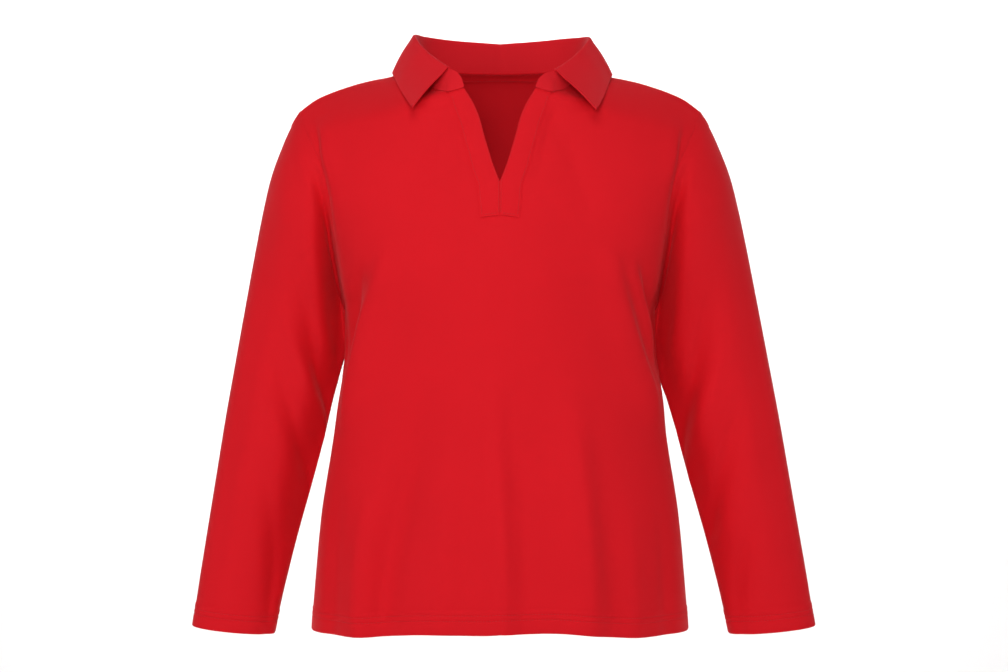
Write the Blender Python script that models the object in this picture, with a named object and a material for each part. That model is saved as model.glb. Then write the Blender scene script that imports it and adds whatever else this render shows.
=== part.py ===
"""A women's long-sleeved polo shirt of jersey, with a folded collar and an open V placket.

It keeps the hollow form of a worn shirt. Metres, +Z up, the front faces -Y and the wearer's left is
at +X. The origin is level with the high points of the shoulders, where the shoulder seams meet the
neck, on the shirt's middle and in the plane of its side seams.

Each panel is a sheet of points, worked out row by row between its two edges, and each sheet then gets
its wall.
"""

import math

import bmesh
import bpy
import numpy as np

# Cloth and seams
CLOTH = 0.0012
HEM_CLOTH = 0.0022
COLLAR_CLOTH = 0.0016
STRIP_CLOTH = 0.0010
SEAM_GAP = 0.00035
COLLAR_GAP = 0.0008
# The collar's seam stands this much clear of the placket strips
STRIP_CLEARANCE = 0.0002

# The front's rows run from its hem, row 0, to the shoulder seam
HEM_TOP = 1
UNDERARM = 13
STRIP_FOOT = 17
V_POINT = 19
NECK_CORNER = 25
FRONT_TOP = 29

# The rows above this one are evened out over the chest and the shoulder blades, this many times
RELAXED = 9
FRONT_ROUNDS = 3
BACK_ROUNDS = 5
# Half the columns of the front; columns 0 to 2 cross the placket strip
FRONT_COLUMNS = 10

# The outer edge of a half front: side seam, then armhole
FRONT_EDGE = [
    # row, x, y, z
    (0, 0.2256, 0.000, -0.6766),
    (1, 0.2242, 0.000, -0.6526),
    (3, 0.2194, 0.000, -0.5913),
    (5, 0.2132, 0.000, -0.5300),
    (7, 0.2033, 0.000, -0.4688),
    (9, 0.1940, 0.000, -0.4075),
    (11, 0.1873, 0.000, -0.3462),
    (12, 0.1868, 0.000, -0.3150),
    (13, 0.1880, 0.000, -0.2850),
    (14, 0.1886, -0.018, -0.2780),
    (15, 0.1902, -0.033, -0.2610),
    (17, 0.1950, -0.055, -0.2130),
    (19, 0.2000, -0.063, -0.1690),
    (21, 0.2070, -0.060, -0.1350),
    (23, 0.2170, -0.048, -0.1095),
    (25, 0.2265, -0.034, -0.0900),
    (27, 0.2345, -0.0175, -0.0710),
    (29, 0.2400, 0.000, -0.0540),
]
# The middle of the front up to the V, then the V's edge up to the collar
FRONT_MIDDLE = [
    # row, x, y, z
    (0, 0.0000, -0.1500, -0.6623),
    (1, 0.0000, -0.1495, -0.6383),
    (4, 0.0000, -0.1450, -0.5457),
    (7, 0.0000, -0.1395, -0.4532),
    (10, 0.0000, -0.1400, -0.3606),
    (13, 0.0000, -0.1440, -0.2680),
    (15, 0.0000, -0.1420, -0.2275),
    (17, 0.0000, -0.1360, -0.1876),
    (19, 0.0000, -0.1270, -0.1490),
    (20, 0.0070, -0.1215, -0.1310),
    (21, 0.0129, -0.1155, -0.1120),
    (22, 0.0184, -0.1100, -0.0930),
    (23, 0.0235, -0.1035, -0.0737),
    (24, 0.0310, -0.0975, -0.0555),
    (25, 0.0413, -0.0925, -0.0385),
]
# The front neckline, from the strip's top to the shoulder seam; its row 25 is worked out
FRONT_NECK = [
    # row, x, y, z
    (26, 0.0760, -0.0700, -0.0370),
    (27, 0.0880, -0.0460, -0.0225),
    (28, 0.0940, -0.0215, -0.0085),
    (29, 0.0960, 0.0000, 0.0000),
]
# How far the shoulder seam stands over a straight line from the neck to the armhole
SHOULDER_RISE = [
    # share of the seam, height
    (0.00, 0.0000),
    (0.23, 0.0004),
    (0.45, 0.0056),
    (0.65, 0.0077),
    (0.83, 0.0072),
    (0.94, 0.0036),
    (1.00, 0.0000),
]
# The front follows the rise of its seam from this row up
RISE_ROW = 23
# How round a row of the front is: 1 is a quarter of an ellipse and 0 a straight line
FRONT_ROUND = [
    # row, share
    (0, 1.0),
    (13, 1.0),
    (19, 0.85),
    (25, 0.50),
    (29, 0.0),
]
# The width of the placket strip along its rows
STRIP_WIDTH = [
    # row, width
    (0, 0.0228),
    (17, 0.0228),
    (19, 0.0262),
    (21, 0.0245),
    (24, 0.0235),
    (25, 0.0190),
]

# The back's rows run from its hem to the shoulder seam and neckline
BACK_TOP = 23
BACK_EDGE = [
    # row, x, y, z
    (13, 0.1880, 0.000, -0.2850),
    (14, 0.1886, 0.022, -0.2770),
    (15, 0.1905, 0.042, -0.2540),
    (17, 0.1970, 0.063, -0.2000),
    (19, 0.2055, 0.064, -0.1500),
    (21, 0.2220, 0.041, -0.0970),
    (22, 0.2330, 0.0160, -0.0680),
    (23, 0.2400, 0.000, -0.0540),
]
BACK_MIDDLE = [
    # row, x, y, z
    (0, 0.0, 0.1300, -0.6720),
    (1, 0.0, 0.1290, -0.6480),
    (4, 0.0, 0.1220, -0.5560),
    (7, 0.0, 0.1080, -0.4640),
    (10, 0.0, 0.1040, -0.3720),
    (13, 0.0, 0.1120, -0.2800),
    (15, 0.0, 0.1180, -0.2180),
    (17, 0.0, 0.1200, -0.1580),
    (19, 0.0, 0.1160, -0.1000),
    (21, 0.0, 0.1010, -0.0430),
    (22, 0.0, 0.0840, -0.0092),
    (23, 0.0, 0.0750, 0.0000),
]
# How round a row of the back is
BACK_ROUND = [
    # row, share
    (0, 1.0),
    (13, 1.0),
    (17, 0.85),
    (20, 0.60),
    (23, 0.35),
]
BACK_YOKE = 16
# How quickly the rows above the yoke take on the shape of the back's top edge
YOKE_POWER = 2.4
NECK_HALF_WIDTH = 0.0960
NECK_BACK = 0.0750
NECK_COLUMNS = 6
SHOULDER_COLUMNS = 8
BACK_COLUMNS = NECK_COLUMNS + SHOULDER_COLUMNS

# The sleeve's rings after the armhole: its outer and inner line, half its depth, how far forward it is
RINGS = 22
SLEEVE = [
    # ring, outer x, outer z, inner x, inner z, half depth, forward
    (0, 0.2400, -0.0540, 0.1880, -0.2850, 0.0720, 0.000),
    (1, 0.2505, -0.0710, 0.1882, -0.2895, 0.0730, -0.004),
    (2, 0.2605, -0.0920, 0.1877, -0.2950, 0.0725, -0.009),
    (4, 0.2757, -0.1330, 0.1868, -0.3070, 0.0695, -0.016),
    (6, 0.2872, -0.1800, 0.1862, -0.3200, 0.0660, -0.021),
    (8, 0.2975, -0.2320, 0.1868, -0.3380, 0.0620, -0.023),
    (10, 0.3085, -0.2950, 0.1935, -0.3680, 0.0570, -0.019),
    (12, 0.3190, -0.3590, 0.2022, -0.4040, 0.0525, -0.011),
    (14, 0.3295, -0.4230, 0.2126, -0.4500, 0.0480, -0.004),
    (16, 0.3390, -0.4870, 0.2272, -0.5060, 0.0435, 0.003),
    (18, 0.3485, -0.5500, 0.2432, -0.5650, 0.0390, 0.009),
    (20, 0.3580, -0.6120, 0.2570, -0.6230, 0.0350, 0.013),
    (21, 0.3628, -0.6455, 0.2638, -0.6550, 0.0335, 0.015),
    (22, 0.3665, -0.6695, 0.2688, -0.6790, 0.0330, 0.016),
]
CUFF_TOP = 21
# The ring from which a sleeve has its own shape, and the way it leaves the armhole
SET_IN = 5
SLEEVE_OUT = (0.9755, 0.0, -0.2196)
SLEEVE_GIRTH = 0.34
# The left sleeve hangs a little further out, as the photo shows it
LEFT_SPREAD = 0.009

# The collar, from the middle of the back, 0, to its front end, 1: its fold and the edge of its fall
COLLAR = [
    # place, fold x, y, z, edge x, y, z
    (0.00, 0.0000, 0.0790, 0.0362, 0.0000, 0.0960, -0.0118),
    (0.20, 0.0560, 0.0670, 0.0388, 0.0690, 0.0815, -0.0115),
    (0.38, 0.0905, 0.0380, 0.0394, 0.1130, 0.0480, -0.0092),
    (0.52, 0.1026, 0.0020, 0.0367, 0.1290, 0.0020, -0.0078),
    (0.64, 0.0950, -0.0280, 0.0210, 0.1240, -0.0280, -0.0215),
    (0.78, 0.0800, -0.0520, 0.0045, 0.1140, -0.0610, -0.0410),
    (0.92, 0.0600, -0.0770, -0.0119, 0.1015, -0.0990, -0.0610),
]
FALL_END = 0.92
# The free top of the stand in front of the fall
STAND_END = [
    # place, x, y, z
    (0.92, 0.0585, -0.0770, -0.0140),
    (0.95, 0.0500, -0.0850, -0.0190),
    (0.98, 0.0440, -0.0905, -0.0270),
    (1.00, 0.0416, -0.0935, -0.0365),
]
FOLD_RADIUS = 0.0026
# How far the fall bows out between its fold and its edge
FALL_BOW = 0.004
# The left leaf of the collar lies wider: how far its fold and its edge are moved, and its point beyond that
LEFT_FOLD = (0.0045, 0.0, -0.0030)
LEFT_EDGE = (0.0055, 0.0, -0.0020)
LEFT_POINT = 0.0045
LEFT_END = (0.0030, 0.0, -0.0030)

# Folds of the front: a path in front view, its half-width, and its height, below 0 for a trough
FRONT_FOLDS = [
    # top x, z, middle x, z, foot x, z, half width, height
    (-0.140, -0.255, -0.158, -0.330, -0.182, -0.430, 0.014, 0.0065),
    (-0.166, -0.270, -0.176, -0.330, -0.184, -0.385, 0.009, -0.0045),
    (0.139, -0.262, 0.155, -0.340, 0.184, -0.440, 0.014, 0.0065),
    (0.164, -0.272, 0.172, -0.320, 0.182, -0.372, 0.009, 0.0045),
    (-0.072, -0.430, -0.098, -0.510, -0.128, -0.672, 0.022, -0.0050),
    (0.010, -0.440, 0.017, -0.540, 0.020, -0.672, 0.026, -0.0045),
    (0.096, -0.430, 0.110, -0.520, 0.120, -0.672, 0.022, -0.0050),
    (-0.150, -0.520, -0.158, -0.590, -0.162, -0.676, 0.016, 0.0050),
    (0.062, -0.500, 0.068, -0.590, 0.070, -0.670, 0.022, 0.0040),
    (-0.055, -0.540, -0.060, -0.600, -0.064, -0.670, 0.022, 0.0040),
]
BACK_FOLDS = [
    (-0.130, -0.300, -0.105, -0.430, -0.088, -0.676, 0.022, -0.0055),
    (0.132, -0.320, 0.100, -0.450, 0.096, -0.676, 0.022, -0.0055),
    (0.000, -0.360, 0.006, -0.500, 0.004, -0.676, 0.026, -0.0050),
    (-0.160, -0.240, -0.150, -0.300, -0.160, -0.380, 0.014, -0.0040),
    (0.160, -0.240, 0.150, -0.310, 0.162, -0.390, 0.014, -0.0040),
    (-0.045, -0.480, -0.048, -0.580, -0.050, -0.676, 0.020, 0.0045),
    (0.052, -0.470, 0.050, -0.580, 0.052, -0.676, 0.020, 0.0045),
]
# Folds of a sleeve: ring and turn of each end (0 outside, 0.25 front, 0.5 inside, 0.75 back)
SLEEVE_FOLDS = [
    # first ring, first turn, last ring, last turn, half width, height
    (4.0, 0.30, 9.5, 0.43, 0.013, -0.0045),
    (8.5, 0.24, 13.5, 0.42, 0.014, -0.0055),
    (11.0, 0.22, 15.5, 0.40, 0.012, 0.0040),
    (13.0, 0.20, 17.5, 0.38, 0.013, -0.0045),
    (16.0, 0.18, 20.0, 0.30, 0.012, -0.0030),
    (5.0, 0.70, 10.0, 0.58, 0.014, -0.0045),
    (9.5, 0.74, 14.0, 0.60, 0.014, -0.0050),
    (13.5, 0.76, 17.5, 0.62, 0.013, -0.0040),
]

# A row of a panel is a little flatter than an ellipse
FULLNESS = 0.90
ROW_POINTS = 49
# Cloth that turns more sharply than this is drawn with an edge, in degrees
SHARP = 50

SIDES = (-1, 1)
RED = (0.69, 0.011, 0.020, 1.0)


def smooth(rows, at, corners=()):
    """The values of a table at a place along it, on a smooth curve with corners where named."""
    rows = np.array(rows, float)
    keys, values = rows[:, 0], rows[:, 1:]
    stops = [0, len(keys) - 1] + [i for i, key in enumerate(keys) if key in corners]
    i = min(max(int(np.searchsorted(keys, at, side="right")) - 1, 0), len(keys) - 2)
    first = max(s for s in stops if s <= i)
    last = min(s for s in stops if s > i)

    def slope(j):
        before, after = max(j - 1, first), min(j + 1, last)
        return (values[after] - values[before]) / (keys[after] - keys[before])

    step = keys[i + 1] - keys[i]
    t = (at - keys[i]) / step
    start = (2 * t**3 - 3 * t**2 + 1) * values[i] + (t**3 - 2 * t**2 + t) * step * slope(i)
    end = (3 * t**2 - 2 * t**3) * values[i + 1] + (t**3 - t**2) * step * slope(i + 1)
    return start + end


def unit(vector):
    """The vector, one metre long."""
    return vector / max(np.linalg.norm(vector), 1e-12)


def ease(share):
    """0 to 1 with a soft start and a soft end."""
    share = min(max(share, 0.0), 1.0)
    return share * share * (3 - 2 * share)


def places(line):
    """How far along a line of points each of them lies."""
    return np.concatenate([[0.0], np.cumsum(np.linalg.norm(np.diff(line, axis=0), axis=1))])


def along(line, distance):
    """The point that lies a distance along a line of points."""
    at = places(line)
    return np.array([np.interp(distance, at, line[:, k]) for k in range(3)])


def crosswise(middle, edge, roundness):
    """A fine line across a half panel, from its middle to its edge, as round as the body there."""
    widest = math.acos(min(max(middle[0] / edge[0], 0.0), 1.0))
    line = []
    for share in np.linspace(0.0, 1.0, ROW_POINTS):
        turn = (1 - share) * widest
        sideways = (1 - math.cos(turn)) / (1 - math.cos(widest))
        forward = (math.sin(turn) / math.sin(widest)) ** FULLNESS
        x_share = (1 - share) * (1 - roundness) + sideways * roundness
        y_share = (1 - share) * (1 - roundness) + forward * roundness
        gap = middle - edge
        line.append(edge + gap * np.array([x_share, y_share, x_share]))
    return np.array(line)


def fold_height(x, z, folds):
    """How far the folds raise a panel at a place in front view."""
    height = 0.0
    for top_x, top_z, mid_x, mid_z, foot_x, foot_z, half_width, rise in folds:
        share = (top_z - z) / (top_z - foot_z)
        if not 0 < share < 1.001:
            continue
        bend = (top_z - mid_z) / (top_z - foot_z)
        path_x = smooth([(0, top_x), (bend, mid_x), (1, foot_x)], share)[0]
        end = 1.0 if foot_z < -0.66 else math.sin(math.pi * min(share, 1.0)) ** 0.5
        strength = ease(share / 0.35) * end
        height += rise * strength * math.exp(-(((x - path_x) / half_width) ** 2))
    return height


class Sheet:
    """A sheet of cloth as named points and four-sided faces, before it gets its wall."""

    def __init__(self):
        self.names = {}
        self.points = []
        self.thickness = []
        self.faces = []
        self.normals = None

    def add(self, name, point, thickness=CLOTH):
        """Keep a point under a name."""
        self.names[name] = len(self.points)
        self.points.append(np.array(point, float))
        self.thickness.append(thickness)

    def face(self, a, b, c, d, turned=False):
        """Join four named points."""
        face = [self.names[n] for n in (a, b, c, d)]
        self.faces.append(face[::-1] if turned else face)

    def find_normals(self):
        """Work out which way the cloth faces at each point."""
        points = np.array(self.points)
        normals = np.zeros_like(points)
        for face in self.faces:
            a, b, c, d = points[face]
            across = np.cross(c - a, d - b)
            for i in face:
                normals[i] += across
        self.normals = np.array([unit(n) for n in normals])

    def relax(self, free, rounds):
        """Even the cloth out: each free point moves halfway to the middle of its neighbours, a few times."""
        near = {}
        for face in self.faces:
            for a, b in zip(face, face[1:] + face[:1]):
                near.setdefault(a, set()).add(b)
                near.setdefault(b, set()).add(a)
        moving = [i for name, i in self.names.items() if free(name)]
        for _ in range(rounds):
            middles = {i: np.mean([self.points[j] for j in sorted(near[i])], axis=0) for i in moving}
            for i, middle in middles.items():
                self.points[i] = (self.points[i] + middle) / 2
        self.find_normals()

    def raise_by(self, heights):
        """Move points along their normals."""
        for i, height in heights.items():
            self.points[i] = self.points[i] + self.normals[i] * height
        self.find_normals()

    def moved(self, name, distance):
        """A point moved along its normal."""
        i = self.names[name]
        return self.points[i] + self.normals[i] * distance


def share_seam(first, second, pairs):
    """Lean both edges of a seam the same way where it is a ridge, so that their walls stay apart."""
    for name, other in pairs:
        i, j = first.names[name], second.names[other]
        apart = first.points[i] - second.points[j]
        if (first.normals[i] - second.normals[j]) @ apart > 0:
            leaning = unit(first.normals[i] + second.normals[j])
            first.normals[i] = second.normals[j] = leaning


def cloth_material(name, colour, roughness):
    """A plain cloth material."""
    material = bpy.data.materials.new(name)
    material.use_nodes = True
    shader = material.node_tree.nodes["Principled BSDF"]
    shader.inputs["Base Color"].default_value = colour
    shader.inputs["Roughness"].default_value = roughness
    shader.inputs["Metallic"].default_value = 0.0
    material.diffuse_color = colour
    return material


def build_wall(name, sheet, colour=RED):
    """Give a sheet its wall, behind its points, and make it an object."""
    count = len(sheet.points)
    inner = [p - n * t for p, n, t in zip(sheet.points, sheet.normals, sheet.thickness)]
    edges = {}
    for face in sheet.faces:
        for a, b in zip(face, face[1:] + face[:1]):
            edges[(a, b)] = edges.get((a, b), 0) + 1
    faces = [list(face) for face in sheet.faces]
    faces += [[i + count for i in reversed(face)] for face in sheet.faces]
    faces += [[b, a, a + count, b + count] for a, b in edges if (b, a) not in edges]
    mesh = bpy.data.meshes.new(name)
    mesh.from_pydata([tuple(p) for p in sheet.points + inner], [], faces)
    shape = bmesh.new()
    shape.from_mesh(mesh)
    bmesh.ops.triangulate(shape, faces=shape.faces)
    bmesh.ops.recalc_face_normals(shape, faces=shape.faces)
    shape.to_mesh(mesh)
    shape.free()
    mesh.shade_smooth()
    mesh.set_sharp_from_angle(angle=math.radians(SHARP))
    mesh.materials.append(cloth_material(name, colour, 0.75))
    piece = bpy.data.objects.new(name, mesh)
    bpy.context.collection.objects.link(piece)
    return piece


def panel_rows(top):
    """The rows of a panel, with one more just above its hem, where the doubled cloth ends."""
    return [0, HEM_TOP, HEM_TOP + 0.05] + list(range(2, top + 1))


def front_middle(row):
    """The inner end of a row of the front."""
    if row <= NECK_CORNER:
        return smooth(FRONT_MIDDLE, row, corners=(HEM_TOP, V_POINT))
    corner = (NECK_CORNER, *front_line(NECK_CORNER, 2))
    return smooth([corner] + FRONT_NECK, row)


def shoulder_rise(share, row):
    """How far the front stands up over its plain shape, towards the shoulder seam."""
    return smooth(SHOULDER_RISE, share)[0] * ease((row - RISE_ROW) / (FRONT_TOP - RISE_ROW))


def front_line(row, column):
    """The point of a half front at a row and a column."""
    edge = smooth(FRONT_EDGE, row, corners=(HEM_TOP, UNDERARM))
    middle = front_middle(row)
    line = crosswise(middle, edge, smooth(FRONT_ROUND, row)[0])
    length = places(line)[-1]
    strip = 0.0
    if row <= NECK_CORNER:
        strip = smooth(STRIP_WIDTH, row)[0]
    if column <= 2:
        return along(line, strip * column / 2)
    share = (column - 2) / (FRONT_COLUMNS - 2)
    point = along(line, strip + (length - strip) * share)
    return point + np.array([0.0, 0.0, shoulder_rise(share, row)])


def square(side, low, high, column):
    """The names of the four corners of a face between two rows and two columns."""
    return [(side, low, column), (side, high, column), (side, high, column + 1), (side, low, column + 1)]


def make_front():
    """The front, one piece with a V slit."""
    sheet = Sheet()
    columns = FRONT_COLUMNS
    rows = panel_rows(FRONT_TOP)
    for row in rows:
        thickness = HEM_CLOTH if row <= HEM_TOP else CLOTH
        first = 0 if row <= NECK_CORNER else 2
        for column in range(first, columns + 1):
            x, y, z = front_line(row, column)
            for side in SIDES:
                name = (side, row, column)
                if column == 0 and row <= V_POINT:
                    name = (0, row, 0)
                if name not in sheet.names:
                    sheet.add(name, (side * x, y - SEAM_GAP / 2, z), thickness)
    for low, high in zip(rows, rows[1:]):
        for side in SIDES:
            for column in range(0 if high <= NECK_CORNER else 2, columns):
                corners = square(side, low, high, column)
                corners = [n if n in sheet.names else (0, n[1], 0) for n in corners]
                sheet.face(*corners, turned=side > 0)
    sheet.relax(lambda name: RELAXED < name[1] < FRONT_TOP and 3 < name[2] < columns, FRONT_ROUNDS)
    lift = {}
    for (_, row, column), i in sheet.names.items():
        x, _, z = sheet.points[i]
        near_edge = 1.0 if row > UNDERARM else ease((columns - column) / 2)
        lift[i] = fold_height(x, z, FRONT_FOLDS) * near_edge
    sheet.raise_by(lift)
    return sheet


def back_line(row, share, top_point=None):
    """The point of a half back at a row, a share of the way from its middle to its edge."""
    if row <= UNDERARM:
        edge = smooth(FRONT_EDGE, row, corners=(HEM_TOP, UNDERARM))
    else:
        edge = smooth(BACK_EDGE, row)
    middle = smooth(BACK_MIDDLE, row, corners=(HEM_TOP,))
    line = crosswise(middle, edge, smooth(BACK_ROUND, row)[0])
    point = along(line, places(line)[-1] * share)
    if top_point is not None and row > BACK_YOKE:
        climb = [smooth(BACK_MIDDLE, r, corners=(HEM_TOP,))[2] for r in (BACK_YOKE, row, BACK_TOP)]
        weight = ((climb[1] - climb[0]) / (climb[2] - climb[0])) ** YOKE_POWER
        point = point + weight * (top_point - back_line(BACK_TOP, share))
    return point


def back_top():
    """The top edge of a half back: the neckline from the middle to the shoulder seam, then that seam."""
    neck = []
    for k in range(NECK_COLUMNS + 1):
        turn = math.pi / 2 * k / NECK_COLUMNS
        neck.append((NECK_HALF_WIDTH * math.sin(turn), NECK_BACK * math.cos(turn), 0.0))
    start, tip = np.array(FRONT_NECK[-1][1:]), np.array(FRONT_EDGE[-1][1:])
    seam = []
    for k in range(1, SHOULDER_COLUMNS + 1):
        share = k / SHOULDER_COLUMNS
        seam.append(start + (tip - start) * share + np.array([0.0, 0.0, shoulder_rise(share, FRONT_TOP)]))
    return np.array(neck + seam)


def make_back():
    """The back, one piece."""
    sheet = Sheet()
    rows = panel_rows(BACK_TOP)
    top = back_top()
    shares = places(top) / places(top)[-1]
    columns = BACK_COLUMNS
    for row in rows:
        thickness = HEM_CLOTH if row <= HEM_TOP else CLOTH
        for column in range(columns + 1):
            x, y, z = back_line(row, shares[column], top[column])
            for side in SIDES if column else (0,):
                sheet.add((side, row, column), (side * x, y + SEAM_GAP / 2, z), thickness)
    for low, high in zip(rows, rows[1:]):
        for side in SIDES:
            for column in range(columns):
                corners = square(side, low, high, column)
                corners = [n if n in sheet.names else (0, n[1], 0) for n in corners]
                sheet.face(*corners, turned=side < 0)
    sheet.relax(lambda name: RELAXED < name[1] < BACK_TOP - 1 and name[2] < columns, BACK_ROUNDS)
    lift = {}
    for (_, row, column), i in sheet.names.items():
        x, _, z = sheet.points[i]
        near_edge = 1.0 if row > UNDERARM else ease((columns - column) / 2)
        lift[i] = fold_height(x, z, BACK_FOLDS) * near_edge
    sheet.raise_by(lift)
    return sheet


def armhole(front, back, side):
    """The names of the points round an armhole, from the shoulder down the front and up the back."""
    down = [(front, (side, row, FRONT_COLUMNS)) for row in range(FRONT_TOP, UNDERARM, -1)]
    up = [(back, (side, row, BACK_COLUMNS)) for row in range(UNDERARM, BACK_TOP)]
    return down + up


def ring_point(ring, turn, side):
    """A point of a sleeve's ring, at a turn of 0 to 1 from its outer line by way of the front."""
    outer_x, outer_z, inner_x, inner_z, depth, forward = smooth(SLEEVE, ring, corners=(CUFF_TOP,))
    spread = LEFT_SPREAD * (ring / RINGS) if side > 0 else 0.0
    outer_x, inner_x = outer_x + spread, inner_x + spread * 0.45
    angle = 2 * math.pi * turn
    middle_x, middle_z = (outer_x + inner_x) / 2, (outer_z + inner_z) / 2
    x = middle_x + (outer_x - inner_x) / 2 * math.cos(angle)
    z = middle_z + (outer_z - inner_z) / 2 * math.cos(angle)
    return np.array([side * x, -forward - depth * math.sin(angle), z])


def sleeve_fold_height(ring, turn, girth):
    """How far the folds raise a sleeve at a ring and a turn."""
    height = 0.0
    for first_ring, first_turn, last_ring, last_turn, half_width, rise in SLEEVE_FOLDS:
        share = (ring - first_ring) / (last_ring - first_ring)
        if 0 < share < 1:
            path = first_turn + (last_turn - first_turn) * share
            off = (turn - path) * girth / half_width
            height += rise * math.sin(math.pi * share) * math.exp(-(off**2))
    return height


def make_sleeve(front, back, side):
    """A sleeve, from its armhole to its cuff."""
    loop = armhole(front, back, side)
    hole = np.array([piece.points[piece.names[name]] for piece, name in loop])
    closed = np.vstack([hole, hole[:1]])
    far = places(closed)
    foot = far[FRONT_TOP - UNDERARM]
    turns = []
    for d in far[:-1]:
        turns.append(0.5 * d / foot if d <= foot else 0.5 + 0.5 * (d - foot) / (far[-1] - foot))
    outward = np.array([side, 1, 1]) * np.array(SLEEVE_OUT)
    sheet = Sheet()
    rings = list(range(0, CUFF_TOP)) + [CUFF_TOP - 0.06, CUFF_TOP, RINGS]
    for ring in rings:
        thickness = HEM_CLOTH if ring >= CUFF_TOP else CLOTH
        fade = max(0.0, 1 - ring / SET_IN)
        for k, turn in enumerate(turns):
            point = ring_point(ring, turn, side)
            point = point + fade**2 * (hole[k] - ring_point(0, turn, side))
            sheet.add((ring, k), point + outward * SEAM_GAP * fade, thickness)
    count = len(turns)
    for near, far_ring in zip(rings, rings[1:]):
        for k in range(count):
            after = (k + 1) % count
            sheet.face((near, k), (far_ring, k), (far_ring, after), (near, after), turned=side > 0)
    sheet.find_normals()
    lift = {}
    for (ring, k), i in sheet.names.items():
        lift[i] = sleeve_fold_height(ring, turns[k], SLEEVE_GIRTH)
    sheet.raise_by(lift)
    for k, (piece, name) in enumerate(loop):
        share_seam(sheet, piece, [((0, k), name)])
    return sheet


def neckline(front, back, side):
    """The neckline's points on one side, from the middle of the back to the front end."""
    line = [(back, (side if k else 0, BACK_TOP, k)) for k in range(NECK_COLUMNS + 1)]
    line += [(front, (side, row, 2)) for row in range(FRONT_TOP - 1, NECK_CORNER - 1, -1)]
    line += [(front, (side, NECK_CORNER, column)) for column in (1, 0)]
    return line


def collar_profile(seam, place, side):
    """The visible side of the collar at one place: up the stand, over the fold and down the fall."""
    values = smooth(COLLAR, min(place, FALL_END))
    mirror = np.array([side, 1, 1])
    fold, edge = values[:3] * mirror, values[3:] * mirror
    if side > 0:
        widen = ease((place - 0.25) / 0.30)
        fold = fold + np.array(LEFT_FOLD) * widen
        edge = edge + np.array(LEFT_EDGE) * widen
        edge[0] += LEFT_POINT * ease((place - 0.6) / 0.3) * widen
    if place > FALL_END:
        top = smooth(STAND_END, place)[:3] * mirror
        if side > 0:
            top = top + np.array(LEFT_END) * (1 - place) / (1 - FALL_END)
        return [seam + (top - seam) * share for share in (0.0, 0.35, 0.7, 1.0)]
    outward = unit((edge - fold) * np.array([1, 1, 0]) + 1e-9)
    hub = fold - np.array([0, 0, FOLD_RADIUS])
    stand_top = hub - outward * FOLD_RADIUS
    profile = [seam + (stand_top - seam) * share for share in (0.0, 0.35, 0.7, 1.0)]
    for angle in (120, 80, 40):
        turn = math.radians(angle)
        profile.append(hub + FOLD_RADIUS * (outward * math.cos(turn) + np.array([0, 0, math.sin(turn)])))
    fall_top = hub + outward * FOLD_RADIUS
    for share in (0.12, 0.34, 0.56, 0.78, 1.0):
        bulge = FALL_BOW * math.sin(math.pi * share)
        profile.append(fall_top + (edge - fall_top) * share + (outward + np.array([0, 0, 0.5])) * bulge)
    return profile


def make_collar(front, back):
    """The collar, stand and fall in one, folded over."""
    sheet = Sheet()
    over_strip = STRIP_CLOTH + 2 * SEAM_GAP + STRIP_CLEARANCE
    for side in SIDES:
        line = neckline(front, back, side)
        lift = [COLLAR_GAP] * (len(line) - 3) + [over_strip] * 3
        seam = np.array([piece.moved(name, gap) for (piece, name), gap in zip(line, lift)])
        shares = places(seam) / places(seam)[-1]
        shares[-3] = FALL_END
        for k, (point, place) in enumerate(zip(seam, shares)):
            for row, spot in enumerate(collar_profile(point, place, side)):
                name = (side if k else 0, k, row)
                if name not in sheet.names:
                    sheet.add(name, spot, COLLAR_CLOTH)
        for k in range(len(line) - 1):
            rows = [r for (s, c, r) in sheet.names if s == side and c == k + 1]
            for row in range(max(rows)):
                corners = square(side, k, k + 1, row)
                corners = [n if n in sheet.names else (0, n[1], n[2]) for n in corners]
                sheet.face(*corners, turned=side < 0)
    sheet.find_normals()
    return sheet


def make_strip(front, side):
    """A placket strip, made from the front's own points and moved out."""
    sheet = Sheet()
    rows = range(STRIP_FOOT, NECK_CORNER + 1)
    for row in rows:
        for column in range(3):
            name = (side, row, column)
            middle = name not in front.names
            point = front.moved((0, row, 0) if middle else name, SEAM_GAP + STRIP_CLOTH)
            if middle:
                point[0] = side * SEAM_GAP / 2
            sheet.add(name, point, STRIP_CLOTH)
    for row in rows[:-1]:
        for column in range(2):
            sheet.face(*square(side, row, row + 1, column), turned=side > 0)
    sheet.find_normals()
    return sheet


def make_tape(back):
    """The tape over the back neck seam, made from the back's own points and moved in."""
    sheet = Sheet()
    inward = -(CLOTH + SEAM_GAP)
    for side in SIDES:
        for k in range(NECK_COLUMNS):
            for row in (BACK_TOP - 1, BACK_TOP):
                name = (side if k else 0, row, k)
                if name not in sheet.names:
                    sheet.add(name, back.moved(name, inward), STRIP_CLOTH)
        for k in range(NECK_COLUMNS - 1):
            corners = square(side, BACK_TOP - 1, BACK_TOP, k)
            corners = [n if n in sheet.names else (0, n[1], 0) for n in corners]
            sheet.face(*corners, turned=side < 0)
    sheet.find_normals()
    return sheet


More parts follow.
